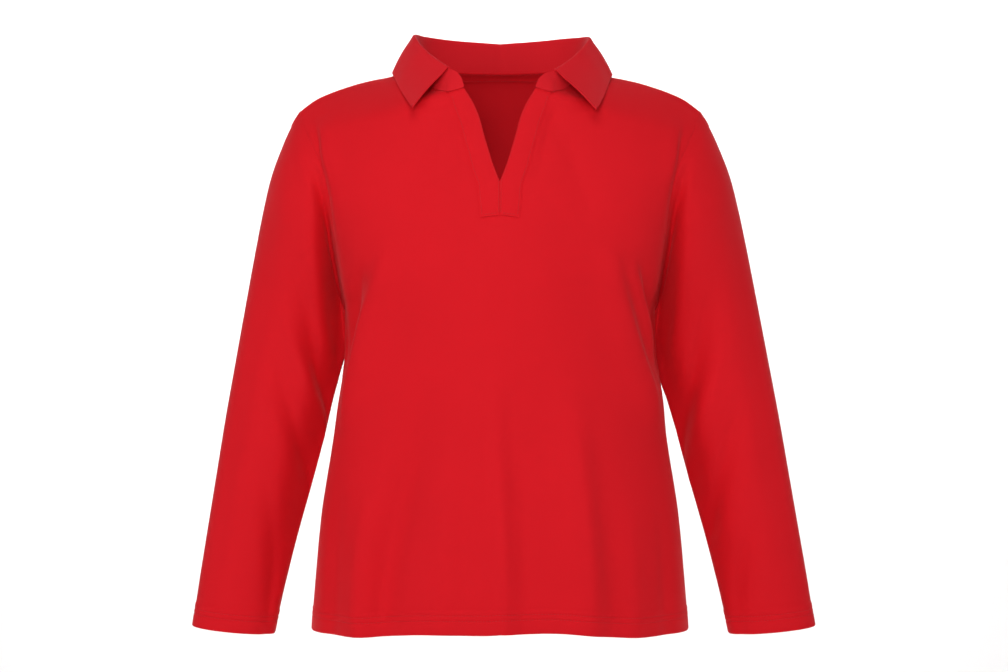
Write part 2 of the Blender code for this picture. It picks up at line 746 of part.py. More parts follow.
def main():
    """Build the shirt's eight pieces."""
    for old in list(bpy.data.objects):
        bpy.data.objects.remove(old)
    front = make_front()
    back = make_back()
    sleeves = {side: make_sleeve(front, back, side) for side in SIDES}
    for side in SIDES:
        seam = [((side, row, FRONT_COLUMNS), (side, row, BACK_COLUMNS)) for row in panel_rows(UNDERARM)]
        for k in range(SHOULDER_COLUMNS + 1):
            seam.append(((side, FRONT_TOP, 2 + k), (side, BACK_TOP, NECK_COLUMNS + k)))
        share_seam(front, back, seam)
    build_wall("front", front)
    build_wall("back", back)
    build_wall("sleeve_right", sleeves[-1])
    build_wall("sleeve_left", sleeves[1])
    build_wall("collar", make_collar(front, back))
    build_wall("placket_right", make_strip(front, -1))
    build_wall("placket_left", make_strip(front, 1))
    build_wall("neck_tape", make_tape(back))


main()
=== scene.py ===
import math

import bpy
import numpy as np
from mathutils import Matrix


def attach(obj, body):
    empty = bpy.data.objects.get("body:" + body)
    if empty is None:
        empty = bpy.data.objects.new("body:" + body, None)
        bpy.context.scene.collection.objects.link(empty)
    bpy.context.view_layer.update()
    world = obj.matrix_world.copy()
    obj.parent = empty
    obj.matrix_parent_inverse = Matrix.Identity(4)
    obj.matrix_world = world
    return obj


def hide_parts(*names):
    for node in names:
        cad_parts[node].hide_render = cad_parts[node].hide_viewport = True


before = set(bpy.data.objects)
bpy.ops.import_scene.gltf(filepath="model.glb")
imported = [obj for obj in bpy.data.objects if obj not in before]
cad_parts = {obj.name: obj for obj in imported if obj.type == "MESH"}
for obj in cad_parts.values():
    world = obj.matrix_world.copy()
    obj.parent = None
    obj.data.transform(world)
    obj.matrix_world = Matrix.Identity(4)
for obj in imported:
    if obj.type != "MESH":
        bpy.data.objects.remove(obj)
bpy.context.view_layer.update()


# The front: one piece of smooth cotton jersey with a V slit cut down from the neck. It is cut flat and hangs
# over the bust from its shoulder and armhole seams. Its foot is folded up once and sewn with two needles.

CLOTH = 0.0012
HEM_CLOTH = 0.0022
SEAM_GAP = 0.00035

# The rows of the front run from its hem, row 0, to the shoulder seam
HEM_TOP = 1
UNDERARM = 13
STRIP_FOOT = 17
V_POINT = 19
NECK_CORNER = 25
FRONT_TOP = 29
FRONT_COLUMNS = 10

# The outer edge of a half front: side seam, then armhole
FRONT_EDGE = [
    # row, x, y, z
    (0, 0.2256, 0.0, -0.6766),
    (1, 0.2242, 0.0, -0.6526),
    (3, 0.2194, 0.0, -0.5913),
    (5, 0.2132, 0.0, -0.53),
    (7, 0.2033, 0.0, -0.4688),
    (9, 0.194, 0.0, -0.4075),
    (11, 0.1873, 0.0, -0.3462),
    (12, 0.1868, 0.0, -0.315),
    (13, 0.188, 0.0, -0.285),
    (14, 0.1886, -0.018, -0.278),
    (15, 0.1902, -0.033, -0.261),
    (17, 0.195, -0.055, -0.213),
    (19, 0.2, -0.063, -0.169),
    (21, 0.207, -0.06, -0.135),
    (23, 0.217, -0.048, -0.1095),
    (25, 0.2265, -0.034, -0.09),
    (27, 0.2345, -0.0175, -0.071),
    (29, 0.24, 0.0, -0.054),
]
# The middle of the front up to the V, then the V's edge up to the collar
FRONT_MIDDLE = [
    # row, x, y, z
    (0, 0.0, -0.15, -0.6623),
    (1, 0.0, -0.1495, -0.6383),
    (4, 0.0, -0.145, -0.5457),
    (7, 0.0, -0.1395, -0.4532),
    (10, 0.0, -0.14, -0.3606),
    (13, 0.0, -0.144, -0.268),
    (15, 0.0, -0.142, -0.2275),
    (17, 0.0, -0.136, -0.1876),
    (19, 0.0, -0.127, -0.149),
    (20, 0.007, -0.1215, -0.131),
    (21, 0.0129, -0.1155, -0.112),
    (22, 0.0184, -0.11, -0.093),
    (23, 0.0235, -0.1035, -0.0737),
    (24, 0.031, -0.0975, -0.0555),
    (25, 0.0413, -0.0925, -0.0385),
]
# The front neckline, from the strip's top to the shoulder seam; its row 25 is worked out
FRONT_NECK = [
    # row, x, y, z
    (26, 0.076, -0.07, -0.037),
    (27, 0.088, -0.046, -0.0225),
    (28, 0.094, -0.0215, -0.0085),
    (29, 0.096, 0.0, 0.0),
]
# How far the shoulder seam stands over a straight line from the neck to the armhole
SHOULDER_RISE = [
    # share of the seam, height
    (0.0, 0.0),
    (0.23, 0.0004),
    (0.45, 0.0056),
    (0.65, 0.0077),
    (0.83, 0.0072),
    (0.94, 0.0036),
    (1.0, 0.0),
]
# How round a row of the front is: 1 is a quarter of an ellipse and 0 a straight line
FRONT_ROUND = [
    # row, share
    (0, 1.0),
    (13, 1.0),
    (19, 0.85),
    (25, 0.5),
    (29, 0.0),
]
# The width of the placket strip along its rows
STRIP_WIDTH = [
    # row, width
    (0, 0.0228),
    (17, 0.0228),
    (19, 0.0262),
    (21, 0.0245),
    (24, 0.0235),
    (25, 0.019),
]
# The row where the shoulder seam's rise begins, and how full the body is between its middle and its sides
RISE_ROW = 23
FULLNESS = 0.90
CROSSWISE_STEPS = 48
SIDES = (-1, 1)


def blend(start, end, share):
    """A value some share of the way from one to another."""
    return start + (end - start) * share


def bell(far):
    """1 at the middle of a soft hump, fading to nothing on either side."""
    return np.exp(-(far**2))


def unit(vectors):
    """Directions as vectors of length 1."""
    return vectors / np.maximum(np.linalg.norm(vectors, axis=-1, keepdims=True), 1e-12)


def smooth(rows, at, corners=()):
    """The values of a table at one or more places along it, on smooth curves with corners where named."""
    rows = np.array(rows, float)
    values = smooth_lines(rows[:, 1:], rows[:, 0], np.atleast_1d(at), corners)
    return values[0] if np.ndim(at) == 0 else values


def smooth_lines(grid, keys, at, corners=()):
    """A grid of points drawn along its first axis at new places, on smooth curves through its rows."""
    grid, keys = np.array(grid, float), np.array(keys, float)
    stops = [0, len(keys) - 1] + [i for i, key in enumerate(keys) if key in corners]
    lines = []
    for place in at:
        i = min(max(int(np.searchsorted(keys, place, side="right")) - 1, 0), len(keys) - 2)
        first = max(s for s in stops if s <= i)
        last = min(s for s in stops if s > i)
        slopes = []
        for j in (i, i + 1):
            before, after = max(j - 1, first), min(j + 1, last)
            slopes.append((grid[after] - grid[before]) / (keys[after] - keys[before]))
        step = keys[i + 1] - keys[i]
        t = (place - keys[i]) / step
        start = (2 * t**3 - 3 * t**2 + 1) * grid[i] + (t**3 - 2 * t**2 + t) * step * slopes[0]
        end = (3 * t**2 - 2 * t**3) * grid[i + 1] + (t**3 - t**2) * step * slopes[1]
        lines.append(start + end)
    return np.array(lines)


def ease(share):
    """0 to 1 with a soft start and a soft end."""
    share = np.clip(share, 0.0, 1.0)
    return share * share * (3 - 2 * share)


def places(line):
    """How far along a line of points each of them lies."""
    return np.concatenate([[0.0], np.cumsum(np.linalg.norm(np.diff(line, axis=0), axis=1))])


def along(line, distance):
    """The point that lies a distance along a line of points."""
    at = places(line)
    return np.array([np.interp(distance, at, line[:, k]) for k in range(3)])


def crosswise(middle, edge, roundness):
    """A fine line across a half panel, from its middle to its edge, as round as the body there."""
    widest = math.acos(min(max(middle[0] / edge[0], 0.0), 1.0))
    share = np.linspace(0.0, 1.0, CROSSWISE_STEPS + 1)
    turn = (1 - share) * widest
    sideways = (1 - np.cos(turn)) / (1 - math.cos(widest))
    forward = (np.sin(turn) / math.sin(widest)) ** FULLNESS
    straight = (1 - share) * (1 - roundness)
    x_share = straight + sideways * roundness
    y_share = straight + forward * roundness
    return edge + (middle - edge) * np.column_stack([x_share, y_share, x_share])


def even_out(grid, keys, first_row, last_row, columns, rounds):
    """Even a half panel out: points between two rows move halfway to the middle of their neighbours."""
    grid = grid.copy()
    moving = [r for r, key in enumerate(keys) if first_row < key < last_row]
    for _ in range(rounds):
        old = grid.copy()
        for r in moving:
            for c in columns:
                left = old[r, c - 1] if c else old[r, 1] * np.array([-1, 1, 1])
                middle = (old[r - 1, c] + old[r + 1, c] + left + old[r, c + 1]) / 4
                grid[r, c] = (old[r, c] + middle) / 2
    return grid


def front_middle(row):
    """The inner end of a row of the front."""
    if row <= NECK_CORNER:
        return smooth(FRONT_MIDDLE, row, corners=(HEM_TOP, V_POINT))
    corner = (NECK_CORNER, *front_line(NECK_CORNER, 2))
    return smooth([corner] + FRONT_NECK, row)


def shoulder_rise(share, row):
    """How far the front stands up over its plain shape, towards the shoulder seam."""
    return smooth(SHOULDER_RISE, share)[0] * ease((row - RISE_ROW) / (FRONT_TOP - RISE_ROW))


def front_line(row, column):
    """The point of a half front at a row and a column: columns 0 to 2 cross the placket strip."""
    edge = smooth(FRONT_EDGE, row, corners=(HEM_TOP, UNDERARM))
    line = crosswise(front_middle(row), edge, smooth(FRONT_ROUND, row)[0])
    length = places(line)[-1]
    strip = smooth(STRIP_WIDTH, row)[0] if row <= NECK_CORNER else 0.0
    if column <= 2:
        return along(line, strip * column / 2)
    share = (column - 2) / (FRONT_COLUMNS - 2)
    return along(line, strip + (length - strip) * share) + np.array([0.0, 0.0, shoulder_rise(share, row)])


STROKE_POINTS = 22


def stroke_heights(across, up, strokes):
    """How far soft folds raise the cloth: each is a path of places with two half widths and a height."""
    height = np.zeros_like(across)
    for stroke in strokes:
        steps = np.linspace(0, len(stroke) - 1, STROKE_POINTS)
        path = smooth([(k, *row) for k, row in enumerate(stroke)], steps)
        best = np.full(across.shape, np.inf)
        here = np.zeros_like(across)
        for start, end in zip(path[:-1], path[1:]):
            run = end[:2] - start[:2]
            share = np.clip(((across - start[0]) * run[0] + (up - start[1]) * run[1]) / (run @ run), 0, 1)
            off_x = across - start[0] - run[0] * share
            off_z = up - start[1] - run[1] * share
            far = np.hypot(off_x, off_z)
            turned = run[0] * off_z - run[1] * off_x
            width = np.where(turned > 0, blend(start[2], end[2], share), blend(start[3], end[3], share))
            closer = far < best
            here = np.where(closer, blend(start[4], end[4], share) * bell(far / width), here)
            best = np.where(closer, far, best)
        height += here
    return height


def grid_normals(grid):
    """Which way the cloth faces at each point of a grid."""
    return unit(np.cross(np.gradient(grid, axis=1), np.gradient(grid, axis=0)))


MERGE_WITHIN = 2e-5
SHARP_ANGLE = 60


def add_object(name, points, faces, material):
    """An object of points and faces with smooth shading."""
    mesh = bpy.data.meshes.new(name)
    mesh.from_pydata(points, [], faces)
    mesh.shade_smooth()
    mesh.materials.append(material)
    piece = bpy.data.objects.new(name, mesh)
    bpy.context.collection.objects.link(piece)
    return piece


def add_piece(name, points, faces, material):
    """An object that belongs to the shirt."""
    piece = add_object(name, points, faces, material)
    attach(piece, "root")
    return piece


class Cloth:
    """Cloth being put together from grids of points, before it gets its wall."""

    def __init__(self):
        self.points = np.zeros((0, 3))
        self.uvs = np.zeros((0, 2))
        self.thickness = np.zeros(0)
        self.faces = []

    def lay(self, grid, uv, thickness, turned, mask=None):
        """Add a grid of points as four-sided faces; a mask leaves faces out."""
        rows, columns = grid.shape[:2]
        start = len(self.points)
        self.points = np.vstack([self.points, grid.reshape(-1, 3)])
        self.uvs = np.vstack([self.uvs, uv.reshape(-1, 2)])
        self.thickness = np.append(self.thickness, np.broadcast_to(thickness, (rows, columns)).ravel())
        index = start + np.arange(rows * columns).reshape(rows, columns)
        corners = [index[:-1, :-1], index[:-1, 1:], index[1:, 1:], index[1:, :-1]]
        quads = np.stack(corners[::-1] if turned else corners, axis=-1).reshape(-1, 4)
        if mask is not None:
            quads = quads[mask.ravel()]
        self.faces.append(quads)

    def finish(self, name, material):
        """Merge the points that meet, give the cloth its wall and make it an object of the shirt."""
        faces = np.vstack(self.faces)
        keys = np.round(self.points / MERGE_WITHIN).astype(np.int64)
        _, keep, place = np.unique(keys, axis=0, return_index=True, return_inverse=True)
        place = place.ravel()
        points, thickness = self.points[keep], self.thickness[keep]
        quads = place[faces]
        kept_uv = self.uvs[faces]
        used = np.unique(quads)
        shrink = np.zeros(len(points), int)
        shrink[used] = np.arange(len(used))
        quads, points, thickness = shrink[quads], points[used], thickness[used]
        a, b, c, d = (points[quads[:, k]] for k in range(4))
        facing = np.cross(c - a, d - b)
        normals = np.zeros_like(points)
        for k in range(4):
            np.add.at(normals, quads[:, k], facing)
        count = len(points)
        inner = points - unit(normals) * thickness[:, None]
        edges = {}
        for k in range(4):
            for a, b in zip(quads[:, k].tolist(), quads[:, (k + 1) % 4].tolist()):
                edges[(a, b)] = True
        rims = [(b, a, a + count, b + count) for a, b in edges if (b, a) not in edges]
        uv_at = np.zeros((count, 2))
        uv_at[quads.ravel()] = kept_uv.reshape(-1, 2)
        faces = np.vstack([quads, quads[:, ::-1] + count, np.array(rims)])
        rim_uv = uv_at[np.array(rims) % count]
        uvs = np.vstack([kept_uv, kept_uv[:, ::-1], rim_uv])
        piece = add_piece(name, np.vstack([points, inner]).tolist(), faces.tolist(), material)
        layer = piece.data.uv_layers.new(name="cloth")
        layer.data.foreach_set("uv", np.asarray(uvs, np.float32).ravel())
        piece.data.set_sharp_from_angle(angle=math.radians(SHARP_ANGLE))
        return piece


# Places of the fine rows: close together at the hem's edge and its two stitch rows
HEM_ROWS = [0, 0.02, 0.06, 0.15, 0.3, 0.45, 0.57, 0.63, 0.67, 0.7, 0.73, 0.77, 0.83, 0.88, 0.92, 0.95]
HEM_ROWS += [0.98, 1.03, 1.07, 1.11, 1.17, 1.27, 1.4, 1.55, 1.7, 1.85]
NEEDLE_ROWS = (0.7, 0.95)
FRONT_ROWS = HEM_ROWS + [2 + k / 8 for k in range(8 * (FRONT_TOP - 2))] + [FRONT_TOP - 0.05, FRONT_TOP]
EDGE_PLACES = [0.06, 0.03, 0.0]

# Folds of the front in front view; the widths are those towards +X and towards -X of a path that runs down
FRONT_STROKES = [
    # each place: x, z, two half widths, height
    [(-0.128, -0.215, 0.016, 0.012, 0.0), (-0.139, -0.259, 0.02, 0.011, 0.0076),
     (-0.151, -0.302, 0.021, 0.01, 0.0127), (-0.163, -0.354, 0.021, 0.009, 0.0136),
     (-0.1746, -0.395, 0.019, 0.009, 0.0093), (-0.184, -0.445, 0.016, 0.009, 0.0)],
    [(-0.16, -0.235, 0.008, 0.01, 0.0), (-0.1695, -0.285, 0.008, 0.01, -0.0076),
     (-0.1765, -0.33, 0.007, 0.01, -0.0085), (-0.184, -0.38, 0.006, 0.009, 0.0)],
    [(0.124, -0.215, 0.012, 0.016, 0.0), (0.135, -0.2645, 0.011, 0.02, 0.0076),
     (0.147, -0.315, 0.01, 0.021, 0.0119), (0.16, -0.358, 0.009, 0.021, 0.0119),
     (0.173, -0.397, 0.009, 0.019, 0.0085), (0.186, -0.445, 0.009, 0.016, 0.0)],
    [(0.163, -0.225, 0.01, 0.008, 0.0), (0.172, -0.27, 0.011, 0.007, -0.006),
     (0.182, -0.315, 0.01, 0.006, -0.0075), (0.188, -0.36, 0.008, 0.006, -0.003),
     (0.19, -0.39, 0.006, 0.006, 0.0)],
    [(0.151, -0.235, 0.008, 0.008, 0.0), (0.1613, -0.27, 0.007, 0.009, 0.0059),
     (0.1727, -0.317, 0.006, 0.008, 0.0071), (0.184, -0.362, 0.006, 0.008, 0.0)],
    [(-0.078, -0.375, 0.02, 0.022, 0.0), (-0.092, -0.425, 0.022, 0.022, -0.0061),
     (-0.116, -0.512, 0.024, 0.02, -0.0115), (-0.136, -0.61, 0.026, 0.018, -0.0128),
     (-0.14, -0.69, 0.028, 0.018, -0.0095)],
    [(-0.004, -0.35, 0.014, 0.024, 0.0), (-0.006, -0.42, 0.014, 0.028, 0.0054),
     (0.0, -0.5, 0.014, 0.03, 0.0095), (0.004, -0.6, 0.015, 0.03, 0.0101),
     (0.004, -0.69, 0.016, 0.03, 0.0068)],
    [(0.076, -0.37, 0.022, 0.022, 0.0), (0.086, -0.43, 0.018, 0.024, 0.0054),
     (0.094, -0.51, 0.016, 0.026, 0.0101), (0.102, -0.6, 0.016, 0.026, 0.0115),
     (0.104, -0.69, 0.018, 0.026, 0.0074)],
    [(-0.15, -0.49, 0.014, 0.014, 0.0), (-0.157, -0.56, 0.015, 0.014, 0.0054),
     (-0.161, -0.63, 0.016, 0.014, 0.0081), (-0.162, -0.69, 0.016, 0.014, 0.0054)],
    [(-0.05, -0.43, 0.018, 0.018, 0.0), (-0.062, -0.54, 0.018, 0.02, 0.0047),
     (-0.07, -0.69, 0.018, 0.02, 0.0041)],
    [(-0.064, -0.052, 0.006, 0.01, 0.0), (-0.056, -0.08, 0.007, 0.012, -0.0022),
     (-0.047, -0.112, 0.007, 0.012, -0.0015), (-0.04, -0.145, 0.007, 0.01, 0.0)],
    [(0.068, -0.052, 0.01, 0.006, 0.0), (0.058, -0.082, 0.012, 0.007, -0.0024),
     (0.049, -0.118, 0.012, 0.007, -0.0016), (0.041, -0.155, 0.01, 0.007, 0.0)],
    [(0.146, -0.5, 0.014, 0.014, 0.0), (0.152, -0.59, 0.014, 0.016, 0.0045),
     (0.156, -0.69, 0.014, 0.016, 0.004)],
    [(-0.186, -0.455, 0.01, 0.01, 0.0), (-0.192, -0.56, 0.01, 0.01, -0.003),
     (-0.197, -0.69, 0.011, 0.01, -0.004)],
    [(0.184, -0.5, 0.01, 0.01, 0.0), (0.192, -0.59, 0.01, 0.01, -0.003),
     (0.196, -0.69, 0.01, 0.011, -0.0035)],
    [(-0.214, -0.064, 0.016, 0.006, 0.0), (-0.21, -0.083, 0.016, 0.005, 0.003),
     (-0.207, -0.109, 0.016, 0.005, 0.0042), (-0.2034, -0.149, 0.016, 0.006, 0.0035),
     (-0.196, -0.205, 0.014, 0.006, 0.0)],
    [(-0.222, -0.074, 0.006, 0.008, 0.0), (-0.2165, -0.095, 0.006, 0.007, -0.003),
     (-0.213, -0.12, 0.005, 0.007, -0.003), (-0.206, -0.155, 0.004, 0.006, 0.0)],
    [(0.213, -0.066, 0.006, 0.016, 0.0), (0.208, -0.088, 0.005, 0.016, 0.0026),
     (0.205, -0.115, 0.005, 0.016, 0.0036), (0.2015, -0.152, 0.006, 0.016, 0.003),
     (0.195, -0.2, 0.006, 0.014, 0.0)],
    [(0.221, -0.076, 0.008, 0.006, 0.0), (0.215, -0.1, 0.007, 0.006, -0.0026),
     (0.211, -0.124, 0.007, 0.005, -0.0026), (0.205, -0.156, 0.006, 0.004, 0.0)],
    [(-0.055, -0.06, 0.01, 0.012, 0.0), (-0.08, -0.1, 0.012, 0.016, -0.0018),
     (-0.105, -0.16, 0.014, 0.018, -0.002), (-0.118, -0.215, 0.014, 0.016, 0.0)],
    [(0.058, -0.06, 0.012, 0.01, 0.0), (0.078, -0.105, 0.014, 0.012, -0.0018),
     (0.096, -0.165, 0.016, 0.014, -0.0018), (0.108, -0.225, 0.014, 0.014, 0.0)],
]


# The doubled cloth of a hem: how far it stands out, where it ends and fades in shares of its height, and the
# depth and width of its rounded edge and of the needles' grooves
HEM_STEP = 0.0007
HEM_END = 1.08
HEM_FADE = 0.06
HEM_ROUND = (0.0008, 0.03)
GROOVE = (0.00055, 0.032)
# The dip at a seam and the wider hollow beside it: depth, width
SEAM_DIP = (0.0009, 0.0022)
SEAM_HOLLOW = (0.0008, 0.009)
CORNER_REACH = 1.5


def hem_relief(key, needle_rows=NEEDLE_ROWS):
    """How far a hem stands out at a place up it."""
    relief = HEM_STEP * (1 - ease((key - HEM_END) / HEM_FADE)) - HEM_ROUND[0] * bell(key / HEM_ROUND[1])
    for row in needle_rows:
        relief = relief - GROOVE[0] * bell((key - row) / GROOVE[1])
    return relief


def seam_roll(far):
    """How far cloth is pulled in beside a seam, by how far from the seam it is."""
    return -SEAM_DIP[0] * bell(far / SEAM_DIP[1]) - SEAM_HOLLOW[0] * bell(far / SEAM_HOLLOW[1])


def shape_rows(wide, keys, fine_keys, fine_across, corner_row):
    """A half panel's fine grid: smooth along every line, with a corner of its outer edge at the underarm."""
    soft = smooth_lines(wide, keys, fine_keys)
    sharp = smooth_lines(wide, keys, fine_keys, (corner_row,))
    nearness = ease(1 - (fine_across[-1] - np.array(fine_across)) / CORNER_REACH)[None, :, None]
    return blend(soft, sharp, nearness)


# The crease between body and sleeve at the armpit, which goes on down the sleeve's inner side: how far back
# the cloth is drawn beside a line, and how wide the crease is on the sleeve's side
ARMPIT = [
    # height, distance from the middle, depth, width
    (-0.65, 0.265, 0.0, 0.018),
    (-0.57, 0.2466, 0.016, 0.02),
    (-0.474, 0.2208, 0.026, 0.022),
    (-0.402, 0.2016, 0.026, 0.02),
    (-0.359, 0.1914, 0.026, 0.016),
    (-0.336, 0.188, 0.028, 0.013),
    (-0.31, 0.1898, 0.032, 0.0115),
    (-0.281, 0.1925, 0.036, 0.0115),
    (-0.245, 0.1968, 0.034, 0.0115),
    (-0.209, 0.201, 0.024, 0.012),
    (-0.17, 0.204, 0.01, 0.012),
    (-0.13, 0.208, 0.0, 0.012),
]
ARMPIT_BODY_WIDTH = 0.0060
# The height where the crease ends on the body, and how far back it reaches, each with its fade
ARMPIT_FOOT = (-0.335, 0.05)
ARMPIT_BACK = (0.03, 0.06)

# Where the left side stands off the waist, under the arm: how far, its height and reach, and where it begins
SIDE_BULGE = 0.0028
SIDE_BULGE_HEIGHT = (-0.388, 0.036)
SIDE_BULGE_START = (0.145, 0.042)

# The hem isn't level. It is raised in waves, from one side seam to the other, which fade out up the panel.
HEM_WAVE_TOP = (-0.58, 0.085)
# each place: x, rise
FRONT_HEM_RISE = [(-0.205, 0.0030), (-0.160, 0.0012), (-0.092, 0.0038), (-0.012, 0.0002), (0.070, 0.0046),
                  (0.158, 0.0012), (0.205, 0.0030)]
BACK_HEM_RISE = [(-0.205, 0.0030), (-0.120, 0.0010), (-0.030, 0.0036), (0.070, 0.0008), (0.150, 0.0034),
                 (0.205, 0.0030)]


def side_out(grid, side):
    """Move the left side out a little under the arm, where the cloth stands off the waist."""
    if side < 0:
        return grid
    height, reach = SIDE_BULGE_HEIGHT
    start, fade = SIDE_BULGE_START
    moved = grid.copy()
    moved[..., 0] += SIDE_BULGE * bell((grid[..., 2] - height) / reach) * ease((grid[..., 0] - start) / fade)
    return moved


def hem_rise(grid, table):
    """Raise the lowest hand's breadth of a panel in soft waves."""
    spots, rises = np.array(table).T
    left = np.clip(np.searchsorted(spots, grid[..., 0]) - 1, 0, len(spots) - 2)
    share = ease((grid[..., 0] - spots[left]) / (spots[left + 1] - spots[left]))
    top, fade = HEM_WAVE_TOP
    raised = grid.copy()
    raised[..., 2] += blend(rises[left], rises[left + 1], share) * ease((top - grid[..., 2]) / fade)
    return raised


def armpit_pull(grid, body=True):
    """Draw the cloth back where body and sleeve meet, most in front; low down only the sleeve is drawn."""
    heights, distances, depths, widths = np.array(ARMPIT).T
    beside = np.abs(grid[..., 0]) - np.interp(grid[..., 2], heights, distances)
    width = np.where(beside < 0, ARMPIT_BODY_WIDTH, np.interp(grid[..., 2], heights, widths))
    depth = np.interp(grid[..., 2], heights, depths)
    if body:
        depth = depth * ease((grid[..., 2] - ARMPIT_FOOT[0]) / ARMPIT_FOOT[1])
    drawn = grid.copy()
    drawn[..., 1] += depth * bell(beside / width) * ease((ARMPIT_BACK[0] - grid[..., 1]) / ARMPIT_BACK[1])
    return drawn


# Places of the fine columns: four to a column of the placket strip, and ten to a column beyond it
FRONT_ACROSS = [k / 4 for k in range(8)] + [2 + k / 10 for k in range(80)]
FRONT_ACROSS += [FRONT_COLUMNS - far for far in EDGE_PLACES]
STRIP_EDGE = FRONT_ACROSS.index(2)

front_keys = list(range(FRONT_TOP + 1))
front_control = np.zeros((len(front_keys), FRONT_COLUMNS + 1, 3))
for row in front_keys:
    for column in range(0 if row <= NECK_CORNER else 2, FRONT_COLUMNS + 1):
        front_control[row, column] = front_line(row, column)
front_control[..., 1] -= SEAM_GAP / 2
EVEN_FROM = 9
front_control = even_out(front_control, front_keys, EVEN_FROM, FRONT_TOP, range(4, FRONT_COLUMNS), rounds=3)

widened = np.zeros((len(front_keys), len(FRONT_ACROSS), 3))
for row in front_keys:
    column, place = (0, 0) if row <= NECK_CORNER else (2, STRIP_EDGE)
    columns = range(column, FRONT_COLUMNS + 1)
    widened[row, place:] = smooth_lines(front_control[row, column:], columns, FRONT_ACROSS[place:])
below_neck = len([k for k in FRONT_ROWS if k <= NECK_CORNER])
front_fine = shape_rows(widened, front_keys, FRONT_ROWS, FRONT_ACROSS, UNDERARM)
strip_keys = front_keys[: NECK_CORNER + 1]
strip_control = widened[: NECK_CORNER + 1, :STRIP_EDGE]
strip_fine = smooth_lines(strip_control, strip_keys, FRONT_ROWS[:below_neck], (V_POINT,))
front_fine[:below_neck, :STRIP_EDGE] = strip_fine
strip_climb = strip_fine[-1] - strip_fine[-2]
for row in range(below_neck, len(FRONT_ROWS)):
    front_fine[row, :STRIP_EDGE] = front_fine[row - 1, :STRIP_EDGE] + strip_climb


def half_normals(grid, outward, split=None):
    """Which way a half panel faces; its middle line faces straight ahead, but not past a split."""
    normals = grid_normals(grid) * outward
    last = len(grid) if split is None else split
    normals[:last, 0, 0] = 0
    return unit(normals)


def cloth_places(grid, side):
    """The place of each point on the flat cloth, in metres."""
    across = np.linalg.norm(np.diff(grid, axis=1), axis=2)
    up = np.linalg.norm(np.diff(grid, axis=0), axis=2)
    u = np.hstack([np.zeros((len(grid), 1)), np.cumsum(across, axis=1)])
    v = np.vstack([np.zeros((1, grid.shape[1])), np.cumsum(up, axis=0)])
    return np.stack([u * side, v], axis=-1)


def hem_thickness(keys, hem_end=HEM_END):
    """The thickness of a panel's cloth up its rows."""
    return blend(HEM_CLOTH, CLOTH, ease((np.array(keys) - hem_end) / HEM_FADE))[:, None]


# How far from a side edge the folds are full, and how much lighter the armhole's seam is than the shoulder's
FOLD_START = 0.016
SIDE_SEAM = 0.45
ROW_HEIGHT = 0.022


def drape(fine, strokes, fold_share, seams, hem_waves, outward, split=None):
    """Both halves of a panel with its folds: before and after the armpits draw it in, and its facings."""
    loose, grids, facings = {}, {}, {}
    for side in SIDES:
        grid = fine * np.array([side, 1, 1])
        normals = half_normals(grid, side * outward, split)
        lift = stroke_heights(grid[..., 0], grid[..., 2], strokes) * fold_share + seams
        loose[side] = side_out(hem_rise(grid + normals * lift[..., None], hem_waves), side)
        grids[side] = armpit_pull(loose[side])
        facings[side] = half_normals(grids[side], side * outward, split)
    return loose, grids, facings


class Wire:
    """A value or colour inside a material, which can be added to and multiplied by others."""

    def __init__(self, tree, socket=None):
        self.tree = tree
        self.socket = socket

    def make(self, kind, settings, values, out=0):
        """Add a node with its settings and the values or wires of its inputs, and give its output."""
        node = self.tree.nodes.new(kind)
        for name, value in settings.items():
            setattr(node, name, value)
        for name, value in values.items():
            if isinstance(value, Wire):
                self.tree.links.new(value.socket, node.inputs[name])
            else:
                node.inputs[name].default_value = value
        return Wire(self.tree, node.outputs[out])

    def math(self, operation, first, second):
        return self.make("ShaderNodeMath", {"operation": operation}, {0: first, 1: second})

    def __add__(self, other):
        return self.math("ADD", self, other)

    def __radd__(self, other):
        return self.math("ADD", other, self)

    def __mul__(self, other):
        return self.math("MULTIPLY", self, other)

    def into(self, shader, name):
        """Lead it to a socket of the shader."""
        self.tree.links.new(self.socket, shader.inputs[name])

    def noise(self, scale, detail):
        """Add soft noise that stays put on the object."""
        place = self.make("ShaderNodeTexCoord", {}, {}, "Object")
        values = {"Vector": place, "Scale": scale, "Detail": detail}
        return self.make("ShaderNodeTexNoise", {}, values, "Fac")

    def dye(self, shader, share, deep, light):
        """Colour the shader with a mix of a deep and a light colour."""
        mix = self.make("ShaderNodeMix", {"data_type": "RGBA"}, {0: share, 6: deep, 7: light}, 2)
        mix.into(shader, "Base Color")

    def emboss(self, shader, strength, distance, height):
        """Give the shader a fine relief."""
        values = {"Strength": strength, "Distance": distance, "Height": height}
        self.make("ShaderNodeBump", {}, values, "Normal").into(shader, "Normal")


def start_material(name):
    """A new material with its shader and a first wire."""
    material = bpy.data.materials.new(name)
    material.use_nodes = True
    return material, material.node_tree.nodes["Principled BSDF"], Wire(material.node_tree)


